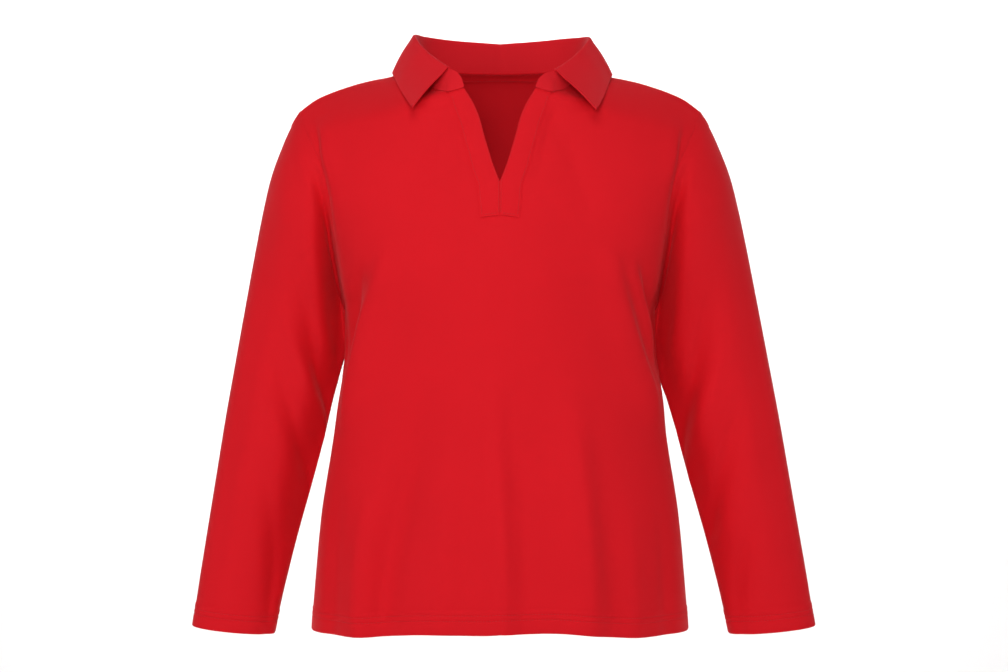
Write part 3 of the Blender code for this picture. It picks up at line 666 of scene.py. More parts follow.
def jersey(name, light, deep, rib=0.0011, relief=0.00016, sheen=0.10):
    """Knitted red cotton: fine wales and courses, a soft bloom, and dye that took a little unevenly."""
    material, shader, wire = start_material(name)
    flat = wire.make("ShaderNodeUVMap", {"uv_map": "cloth"}, {}, "UV")
    u = wire.make("ShaderNodeSeparateXYZ", {}, {"Vector": flat}, "X")
    v = wire.make("ShaderNodeSeparateXYZ", {}, {"Vector": flat}, "Y")
    patchy = wire.noise(9.0, 3.0)
    fluff = wire.noise(420.0, 4.0)
    wale = wire.math("SINE", u * (2 * math.pi / rib), 0.0)
    leg = wire.math("ABSOLUTE", wale, 0.0)
    course = wire.math("SINE", (v + leg * (rib * 0.35)) * (2 * math.pi / (rib * 0.8)), 0.0)
    shade = patchy * 0.55 + fluff * 0.35 + course * 0.04 + wale * 0.04
    wire.dye(shader, shade, deep, light)
    (0.74 + fluff * 0.16).into(shader, "Roughness")
    wire.emboss(shader, 0.35, relief, wale * 0.4 + course * 0.3 + fluff * 0.9)
    shader.inputs["Sheen Weight"].default_value = sheen
    shader.inputs["Sheen Roughness"].default_value = 0.35
    shader.inputs["Sheen Tint"].default_value = (1.0, 0.42, 0.45, 1.0)
    shader.inputs["Specular IOR Level"].default_value = 0.18
    return material


DYED = (0.74, 0.0050, 0.0130, 1.0)
DYED_DEEP = (0.63, 0.0038, 0.0100, 1.0)
body_jersey = jersey("red_jersey", DYED, DYED_DEEP)

COLUMN_WIDTH = 0.030
rows_up = np.array(FRONT_ROWS)
edge_far = (FRONT_COLUMNS - np.array(FRONT_ACROSS)) * COLUMN_WIDTH
seams = hem_relief(rows_up)[:, None] + SIDE_SEAM * seam_roll(edge_far)
seams = seams + seam_roll((FRONT_TOP - rows_up) * ROW_HEIGHT)[:, None]
v_end = FRONT_ROWS.index(V_POINT) + 1
fold_share = ease(edge_far / FOLD_START)
front_panels = drape(front_fine, FRONT_STROKES, fold_share, seams, FRONT_HEM_RISE, 1, v_end)
front_loose, front_grids, front_facing = front_panels
mask = np.ones((len(FRONT_ROWS) - 1, len(FRONT_ACROSS) - 1), bool)
mask[below_neck - 1 :, :STRIP_EDGE] = False
front_cloth = Cloth()
for side, grid in front_grids.items():
    front_cloth.lay(grid, cloth_places(grid, side), hem_thickness(FRONT_ROWS), side < 0, mask)
front = front_cloth.finish("front_cloth", body_jersey)
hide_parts("front")


# The back: one piece of the same jersey, cut higher at the neck and sewn to the front at the sides and the
# shoulders. It hangs from the shoulder blades with soft folds, and its hem runs on from the front's.

BACK_TOP = 23
BACK_YOKE = 16
NECK_HALF_WIDTH = 0.0960
NECK_BACK = 0.0750
NECK_COLUMNS = 6
BACK_COLUMNS = 14
BACK_COLUMN_WIDTH = 0.019
# Where the folds fade below the shoulder, and the shoulder's seam beside the neck, in rows and columns
TOP_FADE = 1.5
NECK_FADE = 0.7
# How the yoke's rows bend up to the shoulder line
YOKE_BEND = 2.4
BACK_EDGE = [
    # row, x, y, z
    (13, 0.188, 0.0, -0.285),
    (14, 0.1886, 0.022, -0.277),
    (15, 0.1905, 0.042, -0.254),
    (17, 0.197, 0.063, -0.2),
    (19, 0.2055, 0.064, -0.15),
    (21, 0.222, 0.041, -0.097),
    (22, 0.233, 0.016, -0.068),
    (23, 0.24, 0.0, -0.054),
]
BACK_MIDDLE = [
    # row, x, y, z
    (0, 0.0, 0.13, -0.672),
    (1, 0.0, 0.129, -0.648),
    (4, 0.0, 0.122, -0.556),
    (7, 0.0, 0.108, -0.464),
    (10, 0.0, 0.104, -0.372),
    (13, 0.0, 0.112, -0.28),
    (15, 0.0, 0.118, -0.218),
    (17, 0.0, 0.12, -0.158),
    (19, 0.0, 0.116, -0.1),
    (21, 0.0, 0.101, -0.043),
    (22, 0.0, 0.084, -0.0092),
    (23, 0.0, 0.075, 0.0),
]
# How round a row of the back is
BACK_ROUND = [
    # row, share
    (0, 1.0),
    (13, 1.0),
    (17, 0.85),
    (20, 0.6),
    (23, 0.35),
]
BACK_ROWS = HEM_ROWS + [2 + k / 8 for k in range(8 * (BACK_TOP - 2))] + [BACK_TOP - 0.05, BACK_TOP]
BACK_ACROSS = [k / 6 for k in range(6 * BACK_COLUMNS)] + [BACK_COLUMNS - far for far in (0.09, 0.045, 0.0)]

# Folds of the back, laid out as the front's are
BACK_STROKES = [
    [(-0.14, -0.25, 0.018, 0.018, 0.0), (-0.122, -0.35, 0.022, 0.018, -0.005),
     (-0.103, -0.45, 0.024, 0.02, -0.0065), (-0.088, -0.69, 0.024, 0.02, -0.007)],
    [(0.142, -0.27, 0.018, 0.018, 0.0), (0.12, -0.36, 0.018, 0.022, -0.005),
     (0.102, -0.47, 0.02, 0.024, -0.006), (0.096, -0.69, 0.02, 0.024, -0.0075)],
    [(-0.004, -0.3, 0.024, 0.024, 0.0), (0.004, -0.42, 0.026, 0.024, -0.0045),
     (0.007, -0.54, 0.026, 0.026, -0.006), (0.004, -0.69, 0.026, 0.026, -0.0065)],
    [(-0.168, -0.2, 0.01, 0.014, 0.0), (-0.158, -0.27, 0.012, 0.014, -0.005),
     (-0.15, -0.32, 0.012, 0.014, -0.0045), (-0.16, -0.4, 0.012, 0.012, 0.0)],
    [(0.168, -0.19, 0.014, 0.01, 0.0), (0.156, -0.265, 0.014, 0.012, -0.005),
     (0.152, -0.325, 0.014, 0.012, -0.0045), (0.164, -0.41, 0.012, 0.012, 0.0)],
    [(-0.043, -0.43, 0.018, 0.018, 0.0), (-0.048, -0.56, 0.02, 0.018, 0.004),
     (-0.05, -0.69, 0.02, 0.018, 0.0055)],
    [(0.055, -0.41, 0.018, 0.018, 0.0), (0.05, -0.55, 0.018, 0.02, 0.0042),
     (0.053, -0.69, 0.018, 0.02, 0.0055)],
    [(-0.15, -0.47, 0.014, 0.014, 0.0), (-0.148, -0.58, 0.014, 0.014, 0.004),
     (-0.146, -0.69, 0.014, 0.014, 0.0055)],
    [(0.146, -0.45, 0.014, 0.014, 0.0), (0.15, -0.57, 0.014, 0.014, 0.0042),
     (0.152, -0.69, 0.014, 0.014, 0.0058)],
    [(-0.12, -0.095, 0.02, 0.016, 0.0), (-0.06, -0.12, 0.018, 0.016, -0.0016),
     (0.01, -0.128, 0.018, 0.018, -0.002), (0.11, -0.11, 0.018, 0.018, 0.0)],
    [(-0.13, -0.33, 0.014, 0.014, 0.0), (-0.05, -0.3, 0.016, 0.016, -0.0022),
     (0.04, -0.31, 0.016, 0.016, -0.0025), (0.125, -0.345, 0.014, 0.014, 0.0)],
]


def back_line(row, share, top_point=None):
    """The point of a half back at a row, a share of the way from its middle to its edge."""
    if row <= UNDERARM:
        edge = smooth(FRONT_EDGE, row, corners=(HEM_TOP, UNDERARM))
    else:
        edge = smooth(BACK_EDGE, row)
    middle = smooth(BACK_MIDDLE, row, corners=(HEM_TOP,))
    line = crosswise(middle, edge, smooth(BACK_ROUND, row)[0])
    point = along(line, places(line)[-1] * share)
    if top_point is not None and row > BACK_YOKE:
        climb = [smooth(BACK_MIDDLE, r, corners=(HEM_TOP,))[2] for r in (BACK_YOKE, row, BACK_TOP)]
        weight = ((climb[1] - climb[0]) / (climb[2] - climb[0])) ** YOKE_BEND
        point = point + weight * (top_point - back_line(BACK_TOP, share))
    return point


neck_turns = np.linspace(0, math.pi / 2, NECK_COLUMNS + 1)
neck_arc = np.column_stack([np.sin(neck_turns), np.cos(neck_turns), 0 * neck_turns])
neck_arc = neck_arc * np.array([NECK_HALF_WIDTH, NECK_BACK, 1.0])
shoulder_start = np.array(FRONT_NECK[-1][1:])
shoulder_end = np.array(FRONT_EDGE[-1][1:])
shoulder_shares = np.arange(1, BACK_COLUMNS - NECK_COLUMNS + 1)[:, None] / (BACK_COLUMNS - NECK_COLUMNS)
shoulder_line = blend(shoulder_start, shoulder_end, shoulder_shares)
shoulder_line[:, 2] += smooth(SHOULDER_RISE, shoulder_shares[:, 0])[:, 0]
back_top = np.vstack([neck_arc, shoulder_line])
back_shares = places(back_top) / places(back_top)[-1]

back_keys = list(range(BACK_TOP + 1))
back_control = np.zeros((len(back_keys), BACK_COLUMNS + 1, 3))
for row in back_keys:
    for column in range(BACK_COLUMNS + 1):
        back_control[row, column] = back_line(row, back_shares[column], back_top[column])
back_control[..., 1] += SEAM_GAP / 2
back_control = even_out(back_control, back_keys, EVEN_FROM, BACK_TOP - 1, range(BACK_COLUMNS), rounds=5)

mirrored = np.concatenate([back_control[:, 3:0:-1] * np.array([-1, 1, 1]), back_control], axis=1)
mirrored_places = list(range(-3, BACK_COLUMNS + 1))
widened = np.zeros((len(back_keys), len(BACK_ACROSS), 3))
for row in back_keys:
    corners = (NECK_COLUMNS,) if row == BACK_TOP else ()
    widened[row] = smooth_lines(mirrored[row], mirrored_places, BACK_ACROSS, corners)
back_fine = shape_rows(widened, back_keys, BACK_ROWS, BACK_ACROSS, UNDERARM)

rows_up = np.array(BACK_ROWS)
edge_far = (BACK_COLUMNS - np.array(BACK_ACROSS)) * BACK_COLUMN_WIDTH
fold_share = ease(edge_far / FOLD_START) * ease((BACK_TOP - rows_up) / TOP_FADE)[:, None]
on_shoulder = ease((np.array(BACK_ACROSS) - NECK_COLUMNS) / NECK_FADE)
seams = hem_relief(rows_up)[:, None] + SIDE_SEAM * seam_roll(edge_far)
seams = seams + seam_roll((BACK_TOP - rows_up) * ROW_HEIGHT)[:, None] * on_shoulder
back_loose, back_grids, back_facing = drape(back_fine, BACK_STROKES, fold_share, seams, BACK_HEM_RISE, -1)
back_cloth = Cloth()
for side, grid in back_grids.items():
    back_cloth.lay(grid, cloth_places(grid, side), hem_thickness(BACK_ROWS), side > 0)
back = back_cloth.finish("back_cloth", body_jersey)
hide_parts("back")


# The sleeves: each is one piece of jersey, closed along the underarm and set into its armhole with an
# overlocked seam. They wrinkle at the inner elbow, and end in a hem sewn like the body's.

RINGS = 22
CUFF_TOP = 21
SLEEVE = [
    # ring, outer x, outer z, inner x, inner z, half depth, forward
    (0, 0.24, -0.054, 0.188, -0.285, 0.072, 0.0),
    (1, 0.2505, -0.071, 0.1882, -0.2895, 0.073, -0.004),
    (2, 0.2605, -0.092, 0.1877, -0.295, 0.0725, -0.009),
    (4, 0.2757, -0.133, 0.1868, -0.307, 0.0695, -0.016),
    (6, 0.2872, -0.18, 0.1862, -0.32, 0.066, -0.021),
    (8, 0.2975, -0.232, 0.1868, -0.338, 0.062, -0.023),
    (10, 0.3085, -0.295, 0.1935, -0.368, 0.057, -0.019),
    (12, 0.319, -0.359, 0.2022, -0.404, 0.0525, -0.011),
    (14, 0.3295, -0.423, 0.2126, -0.45, 0.048, -0.004),
    (16, 0.339, -0.487, 0.2272, -0.506, 0.0435, 0.003),
    (18, 0.3485, -0.55, 0.2432, -0.565, 0.039, 0.009),
    (20, 0.358, -0.612, 0.257, -0.623, 0.035, 0.013),
    (21, 0.3628, -0.6455, 0.2638, -0.655, 0.0335, 0.015),
    (22, 0.3665, -0.6695, 0.2688, -0.679, 0.033, 0.016),
]
# The way a sleeve leaves its armhole
SLEEVE_OUT = (0.9755, 0.0, -0.2196)
# The left sleeve hangs further out towards its cuff; its inner line moves less
LEFT_SPREAD = 0.009
LEFT_INNER_SPREAD = 0.45
SLEEVE_RINGS = [0, 0.05, 0.12, 0.22, 0.35, 0.5, 0.65, 0.8] + [1 + k / 7 for k in range(7 * 19)]
SLEEVE_RINGS += [20 + k / 7 for k in range(6)] + [20.84, 20.89, 20.93, 20.98, 21.04, 21.08, 21.11]
SLEEVE_RINGS += [21.14, 21.17, 21.21, 21.27, 21.32, 21.35, 21.38, 21.41, 21.45, 21.53, 21.65, 21.8]
SLEEVE_RINGS += [21.9, 21.96, 22]
# Where the cuff's needle rows lie, as rings and as shares of the cuff from its edge
CUFF_NEEDLES = (21.14, 21.38)
CUFF_GROOVES = (0.62, 0.86)
CUFF_END = 1.10
# The girth and the ring spacing that the folds are laid out on
GIRTH = 0.34
RING_STEP = 0.0295
# How many rings the armhole's shape and its flat seam reach down the sleeve, and how far the two stand apart
ARMHOLE_FADE = 5
SEAM_REACH = 0.6
ARMHOLE_GAP = 0.0001
# The sleeve's own seam along its inner line: depth, width
UNDERARM_SEAM = (0.0006, 0.0018)
TUCK_WIDTH = 0.09

# Folds of each sleeve: a turn is 0 at its outer line, 0.25 in front, 0.5 inside and 0.75 behind
SLEEVE_STROKES = {
    -1: [
        # each place: turn, ring, two half widths, height
        [(0.13, 0.5, 0.012, 0.018, 0.0), (0.22, 0.75, 0.012, 0.022, -0.0065),
         (0.32, 0.9, 0.012, 0.024, -0.0101), (0.42, 1.6, 0.012, 0.022, -0.0072),
         (0.49, 3.0, 0.01, 0.014, 0.0)],
        [(0.36, 1.0, 0.012, 0.01, 0.0), (0.37, 4.0, 0.013, 0.01, -0.0043), (0.4, 7.5, 0.013, 0.01, -0.0051),
         (0.47, 10.5, 0.012, 0.01, 0.0)],
        [(0.25, 6.0, 0.014, 0.012, 0.0), (0.31, 8.5, 0.015, 0.01, -0.0058),
         (0.39, 11.0, 0.014, 0.009, -0.008), (0.47, 12.8, 0.012, 0.008, 0.0)],
        [(0.22, 8.6, 0.012, 0.012, 0.0), (0.3, 10.6, 0.012, 0.012, 0.0051),
         (0.39, 12.7, 0.011, 0.011, 0.0065), (0.48, 14.4, 0.01, 0.01, 0.0)],
        [(0.2, 10.5, 0.014, 0.012, 0.0), (0.29, 12.7, 0.014, 0.01, -0.0065),
         (0.38, 14.6, 0.013, 0.009, -0.008), (0.47, 16.0, 0.011, 0.008, 0.0)],
        [(0.23, 15.0, 0.013, 0.012, 0.0), (0.32, 17.4, 0.013, 0.01, -0.0043),
         (0.38, 19.6, 0.012, 0.009, -0.0043), (0.41, 22.0, 0.01, 0.009, -0.0014)],
        [(0.1, 3.0, 0.018, 0.016, 0.0), (0.14, 9.0, 0.02, 0.016, -0.0023),
         (0.13, 15.0, 0.018, 0.014, -0.0023), (0.15, 21.0, 0.014, 0.014, 0.0)],
        [(0.7, 4.5, 0.014, 0.014, 0.0), (0.63, 8.0, 0.014, 0.012, -0.0065), (0.55, 11.0, 0.012, 0.01, 0.0)],
        [(0.76, 8.5, 0.014, 0.014, 0.0), (0.66, 12.0, 0.014, 0.012, -0.0072),
         (0.56, 14.8, 0.012, 0.01, 0.0)],
        [(0.78, 13.0, 0.014, 0.014, 0.0), (0.68, 16.0, 0.014, 0.012, -0.0058),
         (0.6, 18.6, 0.012, 0.01, 0.0)],
    ],
    1: [
        [(0.14, 0.5, 0.012, 0.018, 0.0), (0.23, 0.75, 0.012, 0.022, -0.0072),
         (0.33, 0.9, 0.012, 0.024, -0.0109), (0.42, 1.6, 0.012, 0.024, -0.008),
         (0.49, 3.2, 0.01, 0.014, 0.0)],
        [(0.35, 1.2, 0.012, 0.01, 0.0), (0.37, 4.4, 0.013, 0.01, -0.0046),
         (0.41, 8.0, 0.013, 0.01, -0.0055), (0.47, 11.0, 0.012, 0.01, 0.0)],
        [(0.24, 7.4, 0.014, 0.012, 0.0), (0.31, 10.0, 0.015, 0.01, -0.0065),
         (0.39, 12.4, 0.014, 0.009, -0.0075), (0.47, 14.4, 0.012, 0.008, 0.0)],
        [(0.21, 10.0, 0.012, 0.012, 0.0), (0.3, 12.2, 0.012, 0.012, 0.0046),
         (0.39, 14.4, 0.011, 0.011, 0.0061), (0.48, 16.2, 0.01, 0.01, 0.0)],
        [(0.19, 12.4, 0.014, 0.012, 0.0), (0.29, 14.8, 0.014, 0.01, -0.0065),
         (0.38, 16.8, 0.013, 0.009, -0.008), (0.47, 18.4, 0.011, 0.008, 0.0)],
        [(0.24, 17.0, 0.013, 0.012, 0.0), (0.33, 19.2, 0.012, 0.01, -0.0041),
         (0.38, 21.0, 0.011, 0.009, -0.0026), (0.39, 22.0, 0.01, 0.009, -0.0014)],
        [(0.11, 4.0, 0.018, 0.016, 0.0), (0.13, 10.0, 0.02, 0.016, -0.0026),
         (0.15, 16.0, 0.018, 0.014, -0.002), (0.13, 21.0, 0.014, 0.014, 0.0)],
        [(0.71, 5.2, 0.014, 0.014, 0.0), (0.62, 9.0, 0.014, 0.012, -0.007), (0.55, 12.0, 0.012, 0.01, 0.0)],
        [(0.75, 10.0, 0.014, 0.014, 0.0), (0.66, 13.2, 0.014, 0.012, -0.0065),
         (0.56, 16.0, 0.012, 0.01, 0.0)],
        [(0.77, 14.6, 0.014, 0.014, 0.0), (0.69, 17.2, 0.014, 0.012, -0.0058),
         (0.61, 19.6, 0.012, 0.01, 0.0)],
    ],
}


def armhole(side):
    """The edge that a sleeve is sewn to, down the front and up the back, with its turns."""
    front_side = front_loose[side][:, -1]
    back_side = back_loose[side][:, -1]
    down = front_side[FRONT_ROWS.index(UNDERARM):][::-1]
    up = back_side[BACK_ROWS.index(UNDERARM) + 1:-1]
    hole = np.vstack([down, up])
    far = places(np.vstack([hole, hole[:1]]))
    foot = far[len(down) - 1]
    turns = np.where(far <= foot, 0.5 * far / foot, 0.5 + 0.5 * (far - foot) / (far[-1] - foot))
    return hole, turns[:-1]


def ring_points(ring, turns, side):
    """The points of a sleeve's ring at its turns, before it is sewn in."""
    outer_x, outer_z, inner_x, inner_z, depth, forward = smooth(SLEEVE, ring, corners=(CUFF_TOP,))
    spread = LEFT_SPREAD * (ring / RINGS) if side > 0 else 0.0
    outer_x, inner_x = outer_x + spread, inner_x + spread * LEFT_INNER_SPREAD
    angle = 2 * math.pi * turns
    x = (outer_x + inner_x) / 2 + (outer_x - inner_x) / 2 * np.cos(angle)
    z = (outer_z + inner_z) / 2 + (outer_z - inner_z) / 2 * np.cos(angle)
    return np.column_stack([side * x, -forward - depth * np.sin(angle), z])


def ring_normals(grid, side):
    """Which way a closed sleeve faces, its first and last columns being the same line."""
    wrapped = np.concatenate([grid[:, -2:-1], grid, grid[:, 1:2]], axis=1)
    return grid_normals(wrapped)[:, 1:-1] * side


# How far the inner line of each sleeve lies in over the body's side
SLEEVE_TUCK = {
    # each place: height, tuck
    -1: [(-0.400, 0.0), (-0.350, 0.0013), (-0.310, 0.0030), (-0.290, 0.0032), (-0.272, 0.0)],
    1: [(-0.440, 0.0), (-0.400, 0.0026), (-0.374, 0.0060), (-0.350, 0.0050), (-0.310, 0.0038),
        (-0.290, 0.0040), (-0.272, 0.0)],
}
SIDE_NAMES = {-1: "right", 1: "left"}
sleeve_grids = {}
sleeve_facing = {}
ring_places = np.array(SLEEVE_RINGS)
for side in SIDES:
    hole, turns = armhole(side)
    joined = np.append(turns, 1.0)
    grid = []
    for ring in SLEEVE_RINGS:
        fade = max(0.0, 1 - ring / ARMHOLE_FADE)
        line = ring_points(ring, turns, side) + fade**2 * (hole - ring_points(0, turns, side))
        line = line + np.array(SLEEVE_OUT) * np.array([side, 1, 1]) * ARMHOLE_GAP * fade
        grid.append(np.vstack([line, line[:1]]))
    grid = np.array(grid)
    flat_units = np.array([-GIRTH, -RING_STEP, 1, 1, 1])
    strokes = [np.array(stroke) * flat_units for stroke in SLEEVE_STROKES[side]]
    across = np.broadcast_to(-joined * GIRTH, grid.shape[:2])
    up = np.broadcast_to(-ring_places[:, None] * RING_STEP, grid.shape[:2])
    cuff_key = (RINGS - ring_places) / (RINGS - CUFF_TOP)
    lift = stroke_heights(across, up, strokes) + hem_relief(cuff_key, CUFF_GROOVES)[:, None]
    lift = lift * ease(ring_places / SEAM_REACH)[:, None]
    lift = lift - UNDERARM_SEAM[0] * bell((joined - 0.5) * GIRTH / UNDERARM_SEAM[1])
    grid = grid + ring_normals(grid, side) * lift[..., None]
    heights, tucks = np.array(SLEEVE_TUCK[side]).T
    grid[..., 0] -= side * np.interp(grid[..., 2], heights, tucks) * bell((joined - 0.5) / TUCK_WIDTH)
    grid = armpit_pull(grid, body=False)
    sleeve_grids[side] = grid
    sleeve_facing[side] = ring_normals(grid, side)
    cloth = Cloth()
    cloth.lay(grid, cloth_places(grid, side), hem_thickness(cuff_key, CUFF_END), side < 0)
    piece = cloth.finish(f"sleeve_{SIDE_NAMES[side]}_cloth", body_jersey)
    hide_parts(f"sleeve_{SIDE_NAMES[side]}")


# The collar: a stand and a fall cut in one of doubled jersey, folded along its top and sewn round the
# neckline. Its stand ends at the placket strips and its fall spreads out to a point on each side.

COLLAR_CLOTH = 0.0016
STRIP_CLOTH = 0.0010
COLLAR_GAP = 0.0002
COLLAR = [
    # place, fold x, y, z, edge x, y, z
    (0.0, 0.0, 0.079, 0.0362, 0.0, 0.096, -0.0118),
    (0.2, 0.056, 0.067, 0.0388, 0.069, 0.0815, -0.0115),
    (0.38, 0.0905, 0.038, 0.0394, 0.113, 0.048, -0.0092),
    (0.52, 0.1026, 0.002, 0.0367, 0.129, 0.002, -0.0078),
    (0.64, 0.095, -0.028, 0.021, 0.124, -0.028, -0.0215),
    (0.78, 0.08, -0.052, 0.0045, 0.114, -0.061, -0.041),
    (0.92, 0.06, -0.077, -0.0119, 0.1015, -0.099, -0.061),
]
FALL_END = 0.92
# The free top of the stand in front of the fall
STAND_END = [
    # place, x, y, z
    (0.92, 0.0585, -0.077, -0.014),
    (0.95, 0.05, -0.085, -0.019),
    (0.98, 0.044, -0.0905, -0.027),
    (1.0, 0.0416, -0.0935, -0.0365),
]
FOLD_RADIUS = 0.0026
FOLD_ANGLES = (120, 80, 40)
STAND_SHARES = (0.0, 0.35, 0.7, 1.0)
FALL_SHARES = (0.12, 0.34, 0.56, 0.78, 1.0)
FALL_BULGE = 0.0015
# How many points before the strip the collar's seam begins to rise over it
STRIP_RISE = 4
# The left leaf lies wider and lower than the right one: how its fold, its edge and its stand's end are moved
LEFT_FOLD = (0.0045, 0.0, -0.0030)
LEFT_EDGE = (0.0055, 0.0, -0.0020)
LEFT_POINT = (0.0045, 0.0, 0.0)
LEFT_STAND = (0.0030, 0.0, -0.0030)
# Where along the collar the left leaf widens and its point spreads: start, length
LEAF_WIDENS = (0.25, 0.30)
POINT_SPREADS = (0.6, 0.3)
COLLAR_RED = (0.73, 0.0090, 0.0180, 1.0)
COLLAR_DEEP = (0.62, 0.0065, 0.0140, 1.0)
collar_jersey = jersey("collar_jersey", COLLAR_RED, COLLAR_DEEP, rib=0.0013, relief=0.00022, sheen=0.14)


def collar_profile(seam, place, side):
    """The visible side of the collar at one place: up the stand, over the fold and down the fall."""
    values = smooth(COLLAR, min(place, FALL_END))
    mirror = np.array([side, 1, 1])
    fold, edge = values[:3] * mirror, values[3:] * mirror
    if side > 0:
        widen = ease((place - LEAF_WIDENS[0]) / LEAF_WIDENS[1])
        spread = ease((place - POINT_SPREADS[0]) / POINT_SPREADS[1])
        fold = fold + np.array(LEFT_FOLD) * widen
        edge = edge + (np.array(LEFT_EDGE) + np.array(LEFT_POINT) * spread) * widen
    outward = unit((edge - fold) * np.array([1, 1, 0]))
    hub = fold - np.array([0, 0, FOLD_RADIUS])
    stand_top = hub - outward * FOLD_RADIUS
    profile = [blend(seam, stand_top, share) for share in STAND_SHARES]
    for angle in FOLD_ANGLES:
        turn = math.radians(angle)
        profile.append(hub + FOLD_RADIUS * (outward * math.cos(turn) + np.array([0, 0, math.sin(turn)])))
    fall_top = hub + outward * FOLD_RADIUS
    for share in FALL_SHARES:
        bulge = (outward + np.array([0, 0, 0.5])) * FALL_BULGE * math.sin(math.pi * share)
        profile.append(blend(fall_top, edge, share) + bulge)
    return np.array(profile)


def stand_end(seam, place, side):
    """The free front end of the stand at one place, from the seam to its top."""
    top = smooth(STAND_END, place) * np.array([side, 1, 1])
    if side > 0:
        top = top + np.array(LEFT_STAND) * (1 - place) / (1 - FALL_END)
    return np.array([blend(seam, top, share) for share in STAND_SHARES])


def finer(profile, cuts):
    """More points along a profile, with its own number of steps for each stretch."""
    keys = places(profile)
    at = []
    for start, end, count in zip(keys[:-1], keys[1:], cuts):
        at += [blend(start, end, k / count) for k in range(count)]
    return smooth_lines(profile, keys, at + [keys[-1]])


neck_end = BACK_ACROSS.index(NECK_COLUMNS)
neck_row = FRONT_ROWS.index(NECK_CORNER)
stand_cuts = (6, 6, 5)
fall_cuts = (3, 3, 3, 3, 3, 5, 5, 5, 6)
strip_gap = STRIP_CLOTH + 2 * SEAM_GAP + COLLAR_GAP
collar_cloth = Cloth()
for side in SIDES:
    runs = [(back_grids[side][-1, : neck_end + 1], back_facing[side][-1, : neck_end + 1])]
    rows = slice(len(FRONT_ROWS) - 2, neck_row - 1, -1)
    runs.append((front_grids[side][rows, STRIP_EDGE], front_facing[side][rows, STRIP_EDGE]))
    columns = slice(STRIP_EDGE - 1, None, -1)
    runs.append((front_grids[side][neck_row, columns], front_facing[side][neck_row, columns]))
    line = np.vstack([points for points, _ in runs])
    facing = np.vstack([normals for _, normals in runs])
    over_strip = ease((np.arange(len(line)) - (len(line) - STRIP_EDGE - STRIP_RISE)) / STRIP_RISE)
    seam = line + facing * blend(COLLAR_GAP, strip_gap, over_strip)[:, None]
    shares = places(seam) / places(seam)[-1]
    fall_stop = len(seam) - 1 - STRIP_EDGE
    shares[: fall_stop + 1] *= FALL_END / shares[fall_stop]
    shares[fall_stop:] = np.linspace(FALL_END, 1.0, STRIP_EDGE + 1)
    fall = []
    for point, share in zip(seam[: fall_stop + 1], shares[: fall_stop + 1]):
        fall.append(finer(collar_profile(point, share, side), stand_cuts + fall_cuts))
    fall = np.array(fall)
    end = np.array([finer(stand_end(point, share, side), stand_cuts)
                    for point, share in zip(seam[fall_stop:], shares[fall_stop:])])
    end[0] = fall[-1, : sum(stand_cuts) + 1]
    along_neck = places(seam)
    for grid, far in ((fall, along_neck[: fall_stop + 1]), (end, along_neck[fall_stop:])):
        drop = np.array([places(line) for line in grid])
        flat = np.stack([np.broadcast_to(far[:, None] * side, drop.shape), drop], axis=-1)
        collar_cloth.lay(grid, flat, COLLAR_CLOTH, side > 0)
collar = collar_cloth.finish("collar_cloth", collar_jersey)
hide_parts("collar")


# The placket: two strips of the same jersey that bind the edges of the V and meet below it. They are sewn
# down flat along both sides and across their foot.

# The rounding of a strip's edges, depth and width, and the spacing of its fine columns
STRIP_ROUND = (0.0006, 0.0012)
STRIP_STEP = 0.003
strip_row = FRONT_ROWS.index(STRIP_FOOT)
strip_lines = {}
for side in SIDES:
    rows = slice(strip_row, neck_row + 1)
    points = front_grids[side][rows, : STRIP_EDGE + 1]
    facing = front_facing[side][rows, : STRIP_EDGE + 1]
    columns = np.arange(STRIP_EDGE + 1)
    edge_far = np.minimum(columns, STRIP_EDGE - columns) * STRIP_STEP
    round_off = STRIP_ROUND[0] * bell(edge_far / STRIP_ROUND[1])
    strip = points + facing * (SEAM_GAP + STRIP_CLOTH - round_off)[:, None]
    joined_rows = FRONT_ROWS.index(V_POINT) - strip_row + 1
    strip[:joined_rows, 0, 0] = side * SEAM_GAP / 2
    cloth = Cloth()
    cloth.lay(strip, cloth_places(strip, side), STRIP_CLOTH, side < 0)
    piece = cloth.finish(f"placket_{SIDE_NAMES[side]}_cloth", body_jersey)
    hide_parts(f"placket_{SIDE_NAMES[side]}")
    strip_lines[side] = (strip, facing)


# The neck tape: a narrow strip of jersey that covers the seam inside the back of the neck. It is sewn down
# along both its edges.

tape_cloth = Cloth()
tape_lines = []
tape_columns = BACK_ACROSS.index(NECK_COLUMNS - 1) + 1
tape_rows = slice(BACK_ROWS.index(BACK_TOP - 1), len(BACK_ROWS))
for side in SIDES:
    points = back_grids[side][tape_rows, :tape_columns]
    facing = back_facing[side][tape_rows, :tape_columns]
    strip = points - facing * (CLOTH + SEAM_GAP)
    tape_cloth.lay(strip, cloth_places(strip, side), STRIP_CLOTH, side > 0)
    tape_lines.append((strip - facing * STRIP_CLOTH, -facing))
tape = tape_cloth.finish("neck_tape_cloth", body_jersey)
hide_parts("neck_tape")


# The stitching: red polyester thread, sewn in two rows round the body's hem and each cuff, along the edges
# and the foot of the placket strips, and along both edges of the neck tape. Each stitch dips in at its ends.

THREAD = 0.00034
STITCH = 0.0027
STITCH_GAP = 0.0009
STITCH_SHAPE = [
    # share of its length, thickness, height
    (0.0, 0.35, -0.6),
    (0.18, 0.9, 0.1),
    (0.5, 1.0, 0.5),
    (0.82, 0.9, 0.1),
    (1.0, 0.35, -0.6),
]
# The sides of a stitch, which is a little flatter than round
STITCH_SIDES = 6
FLATNESS = 0.8


